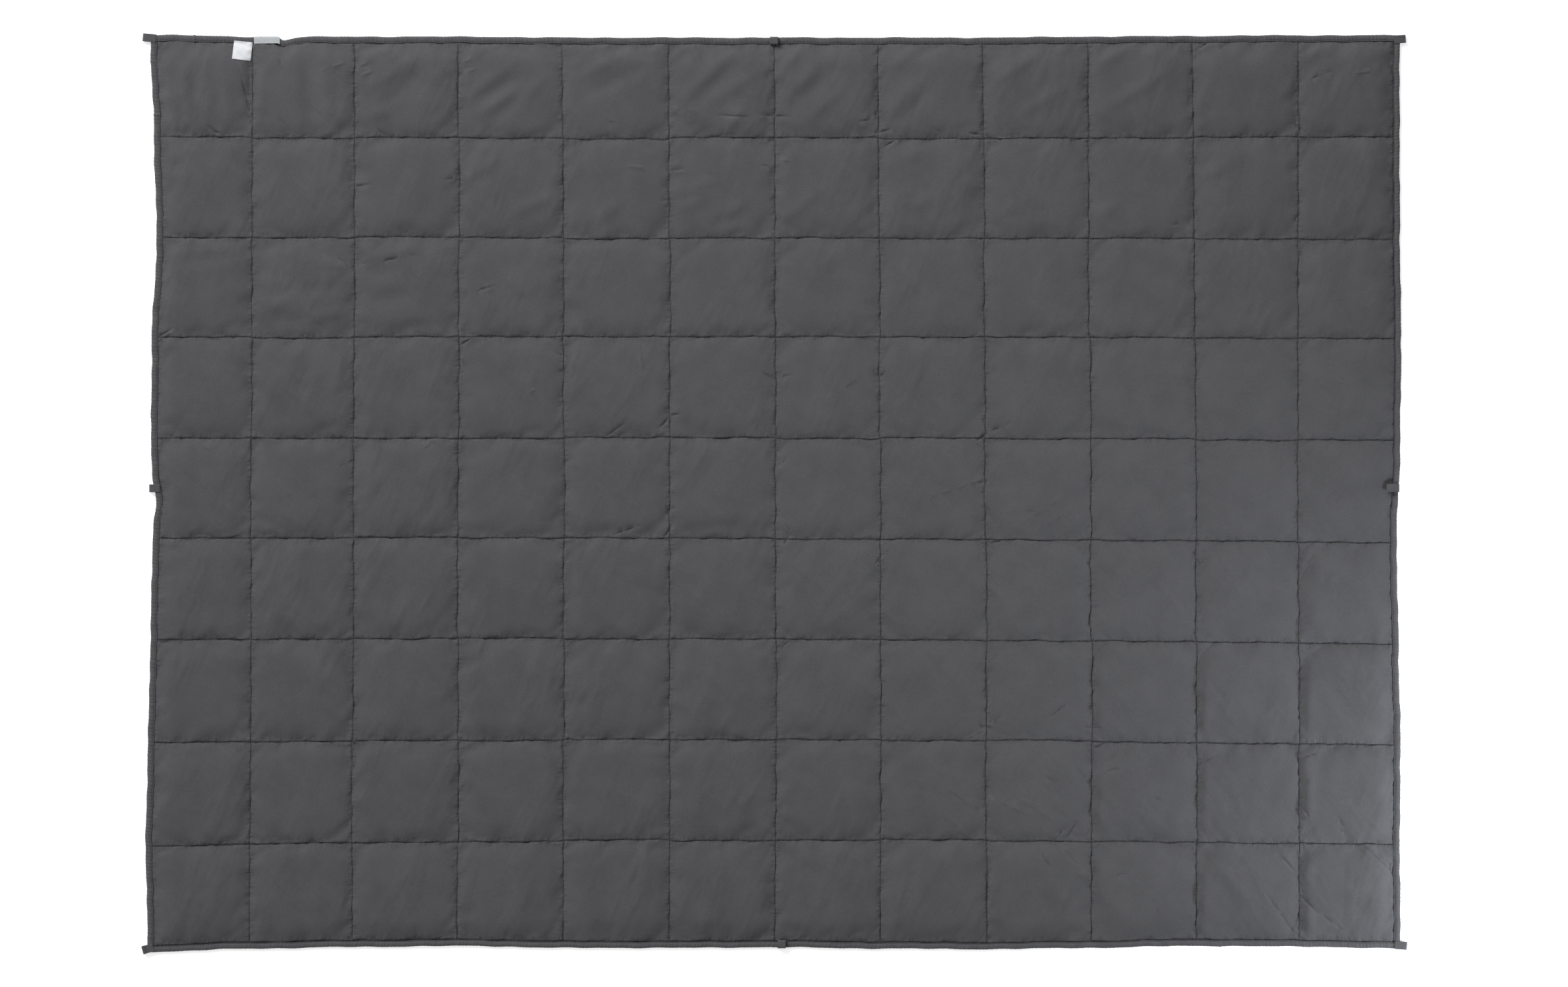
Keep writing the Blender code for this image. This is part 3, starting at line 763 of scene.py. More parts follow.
@dataclass
class Quilt:
    """The filled body: crowned pockets between sewn channels, inflated and gathered as cloth."""

    seam_thick: float = 1.8
    seam_high: float = 4.7  # at the hem, where the channels go under the binding
    seam_rise: float = 2.8  # how much higher the channels lie inside
    seam_ease: float = 30.0  # how far in from the hem they reach that
    seam_jitter: float = 0.14
    lip: float = 1.4  # the narrow roll of cloth on either side of a channel
    lip_width: float = 0.9
    crown: float = 13.2
    flatness: float = 3.0
    fill_waves: tuple[tuple[float, float, float], ...] = ((0.07, 1.7, 0.9), (0.05, -1.1, 2.3))
    lumps: float = 0.3  # how unevenly the beads lie inside a pocket
    lump_size: float = 48.0
    lump_spread: tuple[float, float] = (0.6, 1.6)  # smallest and largest, in that size
    lump_waves: int = 14
    lump_bend: tuple[float, float] = (1.5, 0.37)  # how far the waves bend, and how often
    pucker: float = 0.7  # how unevenly the cloth gathers beside a channel
    pucker_reach: float = 8.0
    # where half a pocket has rows of vertices: close together beside its channel
    half_pocket: tuple[float, ...] = (
        0, 1.3, 3.4, 7.2, 12.8, 19.5, 27, 35, 43.3, 51.7, 60.1, 68.6, 77, 85.5,
    )
    under_stations: tuple[int, ...] = (0, 3, 23)  # the rows that the flat underside keeps
    hem_band: int = 2
    surplus: float = 0.014  # how much more cloth than ground there is
    pressure: float = 1.5
    weight: float = 0.2
    stretch: float = 20.0  # how stiff the cloth is against stretch, shear and bending
    shear: float = 5.0
    bend: float = 0.02
    solver_steps: int = 4
    frames: int = 8
    unevenness: float = 0.2
    most_move: float = 2.0
    fold_ease: float = 1.5  # a fold fades out this close to a seam
    fold_taper: float = 0.8  # below 1, so that a fold keeps its depth until near its ends
    shoulder: tuple[float, float] = (2.6, 1.4)  # place and width of the rise beside it, in its widths
    fine_reach: float = 6.0  # how far beside a narrow fold the mesh is made finer
    fine_cuts: int = 3
    seed: int = 11

    def shares(self) -> np.ndarray:
        """Where a pocket has rows of vertices, as shares of its width."""
        half = np.array(self.half_pocket) / (2 * self.half_pocket[-1])
        return np.concatenate([half, 1 - half[-2:0:-1]])

    def stations(self, pockets: int) -> tuple[np.ndarray, np.ndarray, np.ndarray]:
        """Place every row of vertices one way.

        Args:
            pockets: How many pockets there are that way.

        Returns:
            For each row the ruled line before it, its share of the way to the next line, and its share of
            the way along all the pockets.
        """
        shares = self.shares()
        inner = np.repeat(np.arange(1, pockets + 1), len(shares))
        line = np.concatenate([[0], inner, [pockets + 1, pockets + 2]])
        share = np.concatenate([[0], np.tile(shares, pockets), [0, 0]])
        return line, share, np.clip((line - 1 + share) / pockets, 0, 1)

    def bulge(self, share: np.ndarray) -> np.ndarray:
        """A pocket's rise across its width: 0 at its channels, 1 in the middle."""
        return 1 - np.abs(2 * share - 1) ** self.flatness

    def lay_out(self) -> tuple[np.ndarray, np.ndarray]:
        """Place the top panel before it is inflated.

        Returns:
            The points, columns by rows by 3, and the pocket coordinates, columns by rows by 2.
        """
        self.line_x, self.share_x, along_x = self.stations(PLAN.columns)
        self.line_y, self.share_y, along_y = self.stations(PLAN.rows)
        across, upward = PLAN.across(along_y), PLAN.upward(along_x)
        next_x = np.minimum(self.line_x + 1, len(across) - 1)
        next_y = np.minimum(self.line_y + 1, len(upward) - 1)
        x = across[self.line_x] + (across[next_x] - across[self.line_x]) * self.share_x[:, None]
        y = (upward[self.line_y] + (upward[next_y] - upward[self.line_y]) * self.share_y[:, None]).T
        fill = 1 + sum(
            swing * np.sin(a * self.line_x[:, None] + b * self.line_y[None, :])
            for swing, a, b in self.fill_waves
        )
        u = np.clip(self.line_x - 1 + self.share_x, 0, PLAN.columns)
        v = np.clip(self.line_y - 1 + self.share_y, 0, PLAN.rows)
        from_hem = np.minimum(
            np.minimum(u, PLAN.columns - u)[:, None] * POCKET[0],
            np.minimum(v, PLAN.rows - v)[None, :] * POCKET[1],
        )
        self.seam = self.seam_high + self.seam_rise * np.clip(from_hem / self.seam_ease, 0, 1)
        shares = (self.share_x, self.share_y)
        away = [np.minimum(share, 1 - share) * size for share, size in zip(shares, POCKET)]
        clear = [1 - np.exp(-gap / self.lip_width) for gap in away]
        rise = self.bulge(self.share_x)[:, None] * self.bulge(self.share_y)[None, :]
        z = self.seam + clear[0][:, None] * clear[1][None, :] * self.lip
        z += (self.crown - self.lip - self.seam) * rise * fill + self.lumps * self.unrest(x, y) * rise
        self.gather(x, y, z, away, clear)
        uv = np.stack(np.broadcast_arrays(u[:, None], v[None, :]), axis=-1)
        return np.stack([x, y, z], axis=-1), uv

    def gather(
        self,
        x: np.ndarray,
        y: np.ndarray,
        z: np.ndarray,
        away: Sequence[np.ndarray],
        clear: Sequence[np.ndarray],
    ) -> None:
        """Pucker the cloth on both sides of every channel, and let the channel itself stray a little.

        Args:
            x: The top's x, columns by rows; moved here.
            y: Its y; moved here.
            z: Its height; moved here.
            away: Each column's and each row's distance from its channel.
            clear: How far each column and each row is clear of the sewing, 0 to 1.
        """
        draw = np.random.default_rng(self.seed + 2)
        lines, shares = (self.line_x, self.line_y), (self.share_x, self.share_y)
        for way, (across, height) in enumerate(((x, z), (y.T, z.T))):
            other = clear[1 - way][None, :]
            side = 2 * lines[way] + (shares[way] > 0.5)
            fall = np.exp(-away[way] / self.pucker_reach) * clear[way]
            uneven = draw.normal(0, 1, (side.max() + 1, height.shape[1]))[side]
            height += self.pucker * uneven * fall[:, None] * other
            inner = (shares[way] == 0) & (lines[way] > 1) & (lines[way] <= lines[way].max() - 2)
            stray = draw.normal(0, self.seam_jitter, height.shape)
            across += stray * inner[:, None] * (other > 0)

    def unrest(self, x: np.ndarray, y: np.ndarray) -> np.ndarray:
        """Raise soft random hills and hollows.

        Args:
            x: Places in millimetres.
            y: The same.

        Returns:
            Their heights, about -1 to 1.
        """
        draw = np.random.default_rng(self.seed + 1)
        total = np.zeros_like(x)
        ranges = ((0, np.pi), self.lump_spread, (0, 2 * np.pi))
        swing, bends = self.lump_bend
        for angle, size, phase in zip(*(draw.uniform(*ends, self.lump_waves) for ends in ranges)):
            run = (x * np.cos(angle) + y * np.sin(angle)) * 2 * np.pi / (self.lump_size * size)
            total += np.sin(run + phase + swing * np.sin(run * bends + phase))
        return total / math.sqrt(self.lump_waves)

    def sewn(self) -> np.ndarray:
        """Which vertices are held by the sewing, columns by rows."""
        return (self.share_x == 0)[:, None] | (self.share_y == 0)[None, :]

    def inflate(self, points: np.ndarray, uv: np.ndarray) -> np.ndarray:
        """Blow the pockets up as cloth with a little surplus, so that it gathers along the seams.

        Args:
            points: The laid-out top, columns by rows by 3.
            uv: Its pocket coordinates.

        Returns:
            The gathered top, held within a few millimetres of where it started.
        """
        draw = np.random.default_rng(self.seed)
        start = points.copy()
        held = self.sewn()
        start[..., 2] += np.where(held, 0, draw.normal(0, self.unevenness, held.shape))
        mesh = grid_mesh("top_panel", start, uv)
        panel = bpy.data.objects.new("top_panel", mesh)
        bpy.context.scene.collection.objects.link(panel)
        station = np.empty(len(mesh.vertices), dtype=np.int32)
        mesh.attributes[STATION].data.foreach_get("value", station)
        index = np.argsort(station).reshape(points.shape[:2])
        group = panel.vertex_groups.new(name="sewn")
        group.add([int(n) for n in index[held]], 1.0, "REPLACE")
        cloth = panel.modifiers.new("inflate", "CLOTH")
        fabric = cloth.settings
        fabric.quality = self.solver_steps
        fabric.mass = self.weight
        fabric.tension_stiffness = fabric.compression_stiffness = self.stretch
        fabric.shear_stiffness = self.shear
        fabric.bending_stiffness = self.bend
        fabric.vertex_group_mass = "sewn"
        fabric.shrink_min = fabric.shrink_max = -self.surplus
        fabric.use_pressure = True
        fabric.uniform_pressure_force = self.pressure
        fabric.effector_weights.gravity = 0
        cloth.collision_settings.use_collision = False
        cloth.point_cache.frame_start = 1
        cloth.point_cache.frame_end = self.frames + 1
        for frame in range(1, self.frames + 1):
            bpy.context.scene.frame_set(frame)
        graph = bpy.context.evaluated_depsgraph_get()
        settled = panel.evaluated_get(graph)
        shape = coordinates(settled.to_mesh())[index] / MM
        settled.to_mesh_clear()
        bpy.data.objects.remove(panel)
        bpy.data.meshes.remove(mesh)
        bpy.context.scene.frame_set(1)
        move = shape - points
        length = np.linalg.norm(move, axis=-1, keepdims=True)
        return points + move / np.maximum(1, length / self.most_move)

    def crease(self, points: np.ndarray, uv: np.ndarray, narrow: bool) -> np.ndarray:
        """Press the listed folds of one kind, wide or narrow, into the top.

        Args:
            points: Rows of x, y, z in millimetres; their heights are changed.
            uv: Their pocket coordinates, which tell how near the sewing they are.
            narrow: Whether the narrow folds or the wide ones are pressed in.

        Returns:
            Which points lie beside a fold.
        """
        gap = np.abs(uv - np.rint(uv)) * POCKET
        free = np.prod(1 - np.exp(-gap / self.fold_ease), axis=-1)
        beside = np.zeros(len(points), dtype=bool)
        for fold, places in FOLDS.items():
            if fold.narrow is not narrow:
                continue
            width, rise, beside_it = fold.value
            place, spread = (share * width for share in self.shoulder)
            margin = 3 * width + self.fine_reach
            for x0, y0, x1, y1 in places:
                low = np.minimum((x0, y0), (x1, y1)) - margin
                high = np.maximum((x0, y0), (x1, y1)) + margin
                near = np.flatnonzero(((points[:, :2] > low) & (points[:, :2] < high)).all(axis=1))
                length = math.hypot(x1 - x0, y1 - y0)
                run = np.array((x1 - x0, y1 - y0)) / length
                offset = points[near, :2] - (x0, y0)
                along, away = offset @ run, np.abs(offset @ (-run[1], run[0]))
                taper = np.sin(np.pi * np.clip(along / length, 0, 1)) ** self.fold_taper * free[near]
                shape = rise * np.exp(-((away / width) ** 2))
                shape += beside_it * np.exp(-(((away - place) / spread) ** 2))
                points[near, 2] += taper * shape
                inside = (along > -self.fine_reach) & (along < length + self.fine_reach)
                beside[near[inside & (away < self.fine_reach)]] = True
        return beside

    def score(self, bm: bmesh.types.BMesh) -> None:
        """Make the top finer beside each narrow fold, then press the fold in.

        Args:
            bm: The closed quilt.
        """
        layer = bm.loops.layers.uv.active
        station = bm.verts.layers.int[STATION]
        for last in (False, True):
            top = [vert for vert in bm.verts if vert[station] > UNDERSIDE]
            points = np.array([vert.co for vert in top]) / MM
            uv = np.array([vert.link_loops[0][layer].uv for vert in top])
            beside = self.crease(points, uv, narrow=True)
            if last:
                for vert, place in zip(top, points):
                    vert.co.z = place[2] * MM
            else:
                near = {vert for vert, here in zip(top, beside) if here}
                edges = [edge for edge in bm.edges if edge.verts[0] in near and edge.verts[1] in near]
                bmesh.ops.subdivide_edges(bm, edges=edges, cuts=self.fine_cuts, use_grid_fill=True)

    def close(self, points: np.ndarray, uv: np.ndarray) -> bmesh.types.BMesh:
        """Give the top its underside: flat on the floor under each pocket, raised at the channels.

        Args:
            points: The top, columns by rows by 3.
            uv: Its pocket coordinates.

        Returns:
            The closed quilt.
        """
        bm = bmesh.new()
        bm.from_mesh(grid_mesh("quilt_top", points, uv))
        station = bm.verts.layers.int[STATION]
        columns, rows = points.shape[:2]
        extruded = bmesh.ops.extrude_face_region(bm, geom=bm.faces[:])
        under_x, under_y = self.under_rows(columns), self.under_rows(rows)
        below = {}
        for item in extruded["geom"]:
            if isinstance(item, bmesh.types.BMVert):
                i, j = divmod(item[station], rows)
                on_floor = self.share_x[i] > 0 and self.share_y[j] > 0
                item.co.z = 0.0 if on_floor else (self.seam[i, j] - self.seam_thick) * MM
                item[station] = UNDERSIDE
                below[item] = (i, j)
        spare = []
        for edge in bm.edges:
            if edge.verts[0] in below and edge.verts[1] in below:
                (i0, j0), (i1, j1) = below[edge.verts[0]], below[edge.verts[1]]
                inner_y = self.hem_band <= min(j0, j1) and max(j0, j1) < rows - self.hem_band
                inner_x = self.hem_band <= min(i0, i1) and max(i0, i1) < columns - self.hem_band
                upright = i0 == i1 and i0 not in under_x and inner_y
                if upright or (j0 == j1 and j0 not in under_y and inner_x):
                    spare.append(edge)
        bmesh.ops.dissolve_edges(bm, edges=spare, use_verts=True)
        self.score(bm)
        return bm

    def under_rows(self, count: int) -> set[int]:
        """Rows of vertices that the underside keeps."""
        kept = {n for n in range(1, count - 1) if (n - 1) % len(self.shares()) in self.under_stations}
        return kept | {0, count - 2, count - 1}

    def build(self) -> bpy.types.Object:
        """Lay out, inflate, crease and close the quilt, and dress it in its cloth.

        Returns:
            The quilt.
        """
        points, uv = self.lay_out()
        points = self.inflate(points, uv)
        rows = points.reshape(-1, 3)
        self.crease(rows, uv.reshape(-1, 2), narrow=False)
        points = rows.reshape(points.shape)
        self.points = points
        piece = make_piece("quilted_body", self.close(points, uv), BrushedCloth().make())
        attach(piece, "root")
        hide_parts("quilt")
        return piece


# ---------------------------------------------------------------- tapes


class Frame(NamedTuple):
    """Where a swept section stands: its origin and the directions of its two coordinates."""

    origin: Vector
    first: Vector
    second: Vector


def outward(side: Side) -> Vector:
    """The direction out over a side."""
    out = EDGES[side].outward
    return Vector((0, out, 0)) if side.level else Vector((out, 0, 0))


def stand(side: Side, spots: Sequence[float]) -> list[Frame]:
    """Frames at coordinates along a side's outer edge, whose sections reach inwards and up."""
    return [Frame(Vector((*PLAN.point(side, at), 0)), -outward(side), Vector((0, 0, 1))) for at in spots]


def arc(
    centre: tuple[float, float], radius: float, start: float, end: float, steps: int
) -> list[tuple[float, float]]:
    """Points round an arc, from one angle to another in degrees."""
    angles = [math.radians(start + (end - start) * step / steps) for step in range(steps + 1)]
    return [(centre[0] + radius * math.cos(a), centre[1] + radius * math.sin(a)) for a in angles]


def sweep(
    name: str, frames: Sequence[Frame], sections: np.ndarray, material: bpy.types.Material
) -> bpy.types.Object:
    """Sweep a closed section along frames and cap its ends.

    Args:
        name: The piece's name.
        frames: Where each section stands.
        sections: Section points for each frame, frames by points by 2.
        material: The tape's material.

    Returns:
        The closed piece.
    """
    origins = np.array([frame.origin for frame in frames])[:, None]
    first = np.array([frame.first for frame in frames])[:, None]
    second = np.array([frame.second for frame in frames])[:, None]
    loop = np.concatenate([sections, sections[:, :1]], axis=1)
    points = origins + first * loop[..., :1] + second * loop[..., 1:]
    steps = np.linalg.norm(np.diff(points.mean(axis=1), axis=0), axis=1)
    along = np.concatenate([[0], np.cumsum(steps)])
    around = np.concatenate([[0], np.cumsum(np.linalg.norm(np.diff(loop[0], axis=0), axis=1))])
    uv = np.stack(np.broadcast_arrays(along[:, None], around[None, :]), axis=-1)
    bm = bmesh.new()
    bm.from_mesh(grid_mesh(name, points, uv))
    bmesh.ops.remove_doubles(bm, verts=bm.verts[:], dist=WELD)
    bmesh.ops.edgeloop_fill(bm, edges=[edge for edge in bm.edges if edge.is_boundary])
    return make_piece(name, bm, material)


@dataclass
class Binding:
    """The tape folded round the quilt's rim, gathered into small ribs by its stitches."""

    side: Side
    width: float = 10.0
    cloth: float = 0.9
    middle: float = 3.8
    channel_half: float = 1.2
    step: float = 1.3
    rib_pitch: float = 5.8
    rib_rise: float = 1.1
    puff: float = 0.5
    gap: float = 0.3
    puff_swing: float = 0.4
    swell: float = 46.0  # spacing of the slow swells in its puff and along its inner edge
    swell_uneven: float = 0.5
    edge_stray: tuple[float, float] = (0.5, 0.35)  # what the swells and the ribs do to its inner edge
    edge_share: float = 0.6
    lean: float = 0.15  # how far in a rib leans as it rises
    # along its section from the inner edge: where its upper face is divided, each point's part in the
    # ribs, and its part in the puff, which the row of stitches holds down
    upper: tuple[float, ...] = (10.0, 9.4, 8.7, 7.9, 6.0, 4.0)
    ribbed: tuple[float, ...] = (0.3, 0.5, 0.15, 0.7, 1.0, 1.0, 0.9, 0.8, 0.7, 0.5, 0.2)
    puffed: tuple[float, ...] = (0.0, -0.2, -0.9, 0.0, 0.8, 1.0, 0.5)
    laps: tuple[float, ...] = ()  # where one length of tape laps over the next
    lap_rise: float = 0.9
    lap_width: float = 1.6
    seed: int = 40
    swell_seed: int = 47

    @property
    def half(self) -> float:
        """Half the binding's thickness."""
        return self.channel_half + self.cloth

    def spots(self) -> np.ndarray:
        """Place the sections: a long strip runs past the corners, a short one stops at the long ones.

        Returns:
            Coordinates along the side.
        """
        corner = np.array(float(EDGES[self.side].outward > 0))
        inset = 0.0 if self.side.level else self.width + self.gap
        low, high = (float(PLAN.edge(end, corner, inset)) for end in self.side.ends)
        return np.linspace(low, high, int((high - low) / self.step))

    def sections(self) -> np.ndarray:
        """Fold the section at every place, its outer face ribbed.

        Returns:
            The sections, places by points by 2: inwards and up.
        """
        outside, inside = self.half, self.channel_half
        centre = (self.half, self.middle)
        upper = [(reach, self.middle + outside) for reach in self.upper]
        fold = arc(centre, outside, 90, 270, 6)
        lower = [(self.width, self.middle - outside), (self.width, self.middle - inside)]
        inner = arc(centre, inside, 270, 90, 2) + [(self.width, self.middle + inside)]
        base = np.array(upper + fold + lower + inner)
        ribbed, puffed = (np.pad(part, (0, len(base) - len(part))) for part in (self.ribbed, self.puffed))
        spots = self.spots()
        number = list(Side).index(self.side)
        rib = wave(spots, self.seed + number, self.rib_pitch) - 0.5
        slow = wave(spots, self.swell_seed + number, self.swell, self.swell_uneven) - 0.5
        rising = base - np.array(centre)
        rising /= np.maximum(np.linalg.norm(rising, axis=1, keepdims=True), 1)
        rising[: len(upper)] = (self.lean, 1.0)
        lift = rib[:, None] * self.rib_rise * ribbed
        lift += puffed * (self.puff + self.puff_swing * slow[:, None])
        for lap in self.laps:
            near = np.exp(-(((spots - lap) / self.lap_width) ** 2))
            lift += self.lap_rise * near[:, None] * (ribbed > 0)
        made = base[None] + rising[None] * lift[..., None]
        edge = self.edge_stray[0] * slow + self.edge_stray[1] * rib
        made[:, :3, 0] += edge[:, None] * self.edge_share
        return made

    def build(self, material: bpy.types.Material, quilt: bpy.types.Object) -> bpy.types.Object:
        """Args:
            material: The tape.
            quilt: What it is sewn over; not used.

        Returns:
            The strip.
        """
        spots, sections = self.spots(), self.sections()
        piece = sweep(f"edge_binding_{self.side.value}", stand(self.side, spots), sections, material)
        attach(piece, "root")
        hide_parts(f"binding_{self.side.value}")
        return piece


LAPS = {Side.LEFT: (617.0, 703.0), Side.TOP: (-945.0,), Side.BOTTOM: (726.0,)}


class Lie(Enum):
    """How a loop lies."""

    OUT = "standing out from the edge"
    BACK = "laid back over the binding"


@dataclass
class TieLoop:
    """A short folded tape for a cover's tie."""

    name: str
    side: Side
    at: float
    reach: float
    lie: Lie = Lie.OUT
    pointing: float = 0.0
    twist: float = 0.0
    flare: float = 0.0
    width: float = 13.0
    cloth: float = 0.8
    leg: float = 9.0  # how far its ends reach over the binding and under it
    leg_step: float = 1.5
    gap: float = 0.3
    solid_cloth: float = 1.0
    clear: float = 0.45  # how much higher it passes over the binding's ribs
    back_clear: float = 0.4
    back_steps: tuple[float, ...] = (1.3, 4.0, 8.0)  # where a lower layer that is laid back is divided
    hollow: float = 4.9  # how far apart its layers lie
    climb_from: float = 14.0  # past this reach its lower layer climbs over the pocket
    climb: float = 0.42
    shoulder: float = 3.0  # radius where it turns down over the edge
    heel: float = 2.0  # and where it turns in below
    # shares of its half width and half thickness: a little thicker at its selvedges
    profile: tuple[tuple[float, float], ...] = (
        (-1.0, 0.35), (-0.97, 0.9), (-0.86, 1.1), (-0.5, 0.8), (0.0, 0.85),
        (0.5, 0.8), (0.86, 1.1), (0.97, 0.9), (1.0, 0.35),
    )

    def root(self) -> float:
        """How far past the edge the two layers stay flat."""
        return 1.0 + self.width / 2 * math.tan(math.radians(abs(self.pointing)))

    def standing(self, binding: Binding) -> list[tuple[float, float]]:
        """Bend a loop that stands out: over the binding, round the tip, back under it.

        Args:
            binding: The binding that it is sewn over.

        Returns:
            Its path: outwards and up.
        """
        foot = binding.half + self.gap + self.solid_cloth / 2
        over = binding.middle + (foot + self.clear)
        under = binding.middle - foot
        bend = foot + self.flare / 2
        tip = self.reach - self.cloth / 2 - bend
        above = [(-self.leg + n * self.leg_step, over) for n in range(6)] + [(self.root(), over - 0.1)]
        below = [(self.root(), under)] + [(-self.leg * n / 3, under) for n in (1, 2, 3)]
        return above + arc((tip, binding.middle + self.flare / 2), bend, 90, -90, 12) + below

    def laid_back(self, binding: Binding) -> list[tuple[float, float]]:
        """Bend a loop that is laid back: its lower layer, its tip, its upper layer, and under the edge.

        Args:
            binding: The binding that it is sewn over.

        Returns:
            Its path: outwards and up.
        """
        top = binding.middle + binding.half
        low = top + self.gap + self.solid_cloth / 2 + self.back_clear
        high = top + self.gap + self.solid_cloth * 1.5 + self.hollow
        out = self.gap + self.solid_cloth / 2
        foot = binding.middle - binding.half - self.gap - self.solid_cloth / 2
        bend = (high - low - max(0.0, self.reach - self.climb_from) * self.climb) / 2
        tip = arc((-self.reach + self.cloth / 2 + bend, high - bend), bend, 270, 90, 12)
        shoulder = arc((out - self.shoulder, high - self.shoulder), self.shoulder, 90, 0, 8)
        heel = arc((out - self.heel, foot + self.heel), self.heel, 0, -90, 6)
        lower = [(-step, low) for step in self.back_steps]
        return lower + tip + shoulder + heel + [(self.heel + 1 - self.leg, foot), (-self.leg, foot)]

    def frames(self, binding: Binding) -> list[Frame]:
        """Stand sections along the loop's path.

        Args:
            binding: The binding that it is sewn over.

        Returns:
            Frames at the tape's middle: across it, and square to it.
        """
        out = Matrix.Rotation(math.radians(self.pointing), 3, "Z") @ outward(self.side)
        place = Vector((*PLAN.point(self.side, self.at), 0))
        flat = self.root()
        path = self.laid_back(binding) if self.lie is Lie.BACK else self.standing(binding)
        made = []
        for spot, (reach, height) in enumerate(path):
            run = (Vector(path[min(spot + 1, len(path) - 1)]) - Vector(path[max(spot - 1, 0)])).normalized()
            angle = math.radians(self.twist) * max(reach - flat, 0.0) / (self.reach - flat)
            roll = Matrix.Rotation(angle, 3, out)
            up = roll @ Vector((0, 0, 1))
            across = roll @ out.cross(Vector((0, 0, 1)))
            middle = place + out * reach + up * (height - binding.middle)
            middle.z += binding.middle + self.width / 2 * abs(math.sin(angle))
            made.append(Frame(middle, across, up * run.x - out * run.y))
        return made

    def section(self) -> np.ndarray:
        """The tape's section, points by 2."""
        top = np.array(self.profile) * (self.width / 2, self.cloth / 2)
        return np.concatenate([top, (top * (1, -1))[::-1]])

    def build(self, material: bpy.types.Material, binding: Binding) -> bpy.types.Object:
        """Args:
            material: The tape.
            binding: The binding that it is sewn over.

        Returns:
            The loop.
        """
        frames = self.frames(binding)
        sections = np.repeat(self.section()[None], len(frames), axis=0)
        piece = sweep(f"tape_{self.name}", frames, sections, material)
        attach(piece, "root")
        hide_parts(self.name)
        return piece


LOOPS = (
    TieLoop("tie_loop_top_left", Side.LEFT, 742.0, 13.0, pointing=-5.0),
    TieLoop("tie_loop_left", Side.LEFT, 8.5, 8.5),
    TieLoop("tie_loop_bottom_left", Side.LEFT, -741.5, 9.5, pointing=15.0, twist=-14.0, flare=2.0),
    TieLoop("tie_loop_top_right", Side.RIGHT, 740.0, 9.5, pointing=4.0),
    TieLoop("tie_loop_right", Side.RIGHT, 9.0, 20.0, Lie.BACK),
    TieLoop("tie_loop_bottom_right", Side.RIGHT, -736.0, 11.0, pointing=-4.0),
    TieLoop("tie_loop_top_middle", Side.TOP, -0.5, 12.0, Lie.BACK),
    TieLoop("tie_loop_bottom_middle", Side.BOTTOM, 12.2, 12.5, Lie.BACK),
)


# ---------------------------------------------------------------- labels


@dataclass
class CareLabel:
    """A small bare satin label sewn at the top binding, lying on the first pocket."""

    top: tuple[float, float] = (-865.0, 736.2)
    width: float = 30.0
    length: float = 30.3
    turn: float = -6.0
    cloth: float = 0.4
    lift: float = 0.5
    bridging: int = 3  # how often its hollows are evened out, because it is a stiff little sheet
    curl: float = 0.5
    curl_turn: float = 3.0
    steps: int = 16

    def build(self, material: bpy.types.Material, under: Sequence[bpy.types.Object]) -> bpy.types.Object:
        """Drape the label over what lies under it.

        Args:
            material: The satin.
            under: The pieces that it lies on.

        Returns:
            The label, a thin closed sheet.
        """
        trees = [surface_of(piece) for piece in under]
        turn = Matrix.Rotation(math.radians(self.turn), 2)
        points = np.zeros((self.steps + 1, self.steps + 1, 3))
        uv = np.zeros((self.steps + 1, self.steps + 1, 2))
        for i in range(self.steps + 1):
            for j in range(self.steps + 1):
                flat = Vector(((i / self.steps - 0.5) * self.width, (j / self.steps - 1) * self.length))
                x, y = Vector(self.top) + turn @ flat
                points[i, j] = (x, y, max(height_on(tree, x, y) for tree in trees) + self.lift)
                uv[i, j] = flat
        for _ in range(self.bridging):
            z = points[..., 2]
            soft = z.copy()
            soft[1:-1, 1:-1] = (z[:-2, 1:-1] + z[2:, 1:-1] + z[1:-1, :-2] + z[1:-1, 2:]) / 4
            points[..., 2] = np.maximum(z, soft)
        points[..., 2] += self.curl * np.sin(np.linspace(0, self.curl_turn, self.steps + 1))[:, None] ** 2
        bm = bmesh.new()
        bm.from_mesh(grid_mesh("satin_care_label", points, uv))
        bmesh.ops.solidify(bm, geom=bm.faces[:], thickness=-self.cloth * MM)
        piece = make_piece("satin_care_label", bm, material)
        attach(piece, "root")
        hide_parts("care_label")
        return piece


@dataclass
class SideLabel:
    """A bare grey ribbon folded round the top binding."""

    span: tuple[float, float] = (-847.5, -805.7)
    reach: float = 10.6
    cloth: float = 0.5
    clear: float = 0.75
    foot_clear: float = 0.3
    upper: tuple[float, ...] = (8.0, 5.5, 3.5)  # where its upper face is divided
    slope: tuple[float, float] = (0.6, -0.3)  # how much longer its left and its right end are
    step: float = 1.4

    def build(self, material: bpy.types.Material, binding: Binding) -> bpy.types.Object:
        """Fold the ribbon round the binding, a little longer at its left end.

        Args:
            material: The ribbon.
            binding: The top binding.

        Returns:
            The label.
        """
        spots = np.linspace(*self.span, int((self.span[1] - self.span[0]) / self.step))
        inside, outside = binding.half + self.clear, binding.half + self.clear + self.cloth
        centre = (binding.half, binding.middle)
        foot_in = binding.half + self.foot_clear
        base = np.array(
            [(reach, binding.middle + outside) for reach in (self.reach, *self.upper)]
            + arc(centre, outside, 90, 270, 8)
            + [(self.reach, binding.middle - foot) for foot in (foot_in + self.cloth, foot_in)]
            + arc(centre, inside, 270, 90, 8)
            + [(self.reach, binding.middle + inside)]
        )
        sections = np.repeat(base[None], len(spots), axis=0)
        for corner in (0, 1, -1):
            sections[:, corner, 0] += np.linspace(*self.slope, len(spots))
        piece = sweep("ribbon_side_label", stand(Side.TOP, spots), sections, material)
        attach(piece, "root")
        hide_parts("side_label")
        return piece


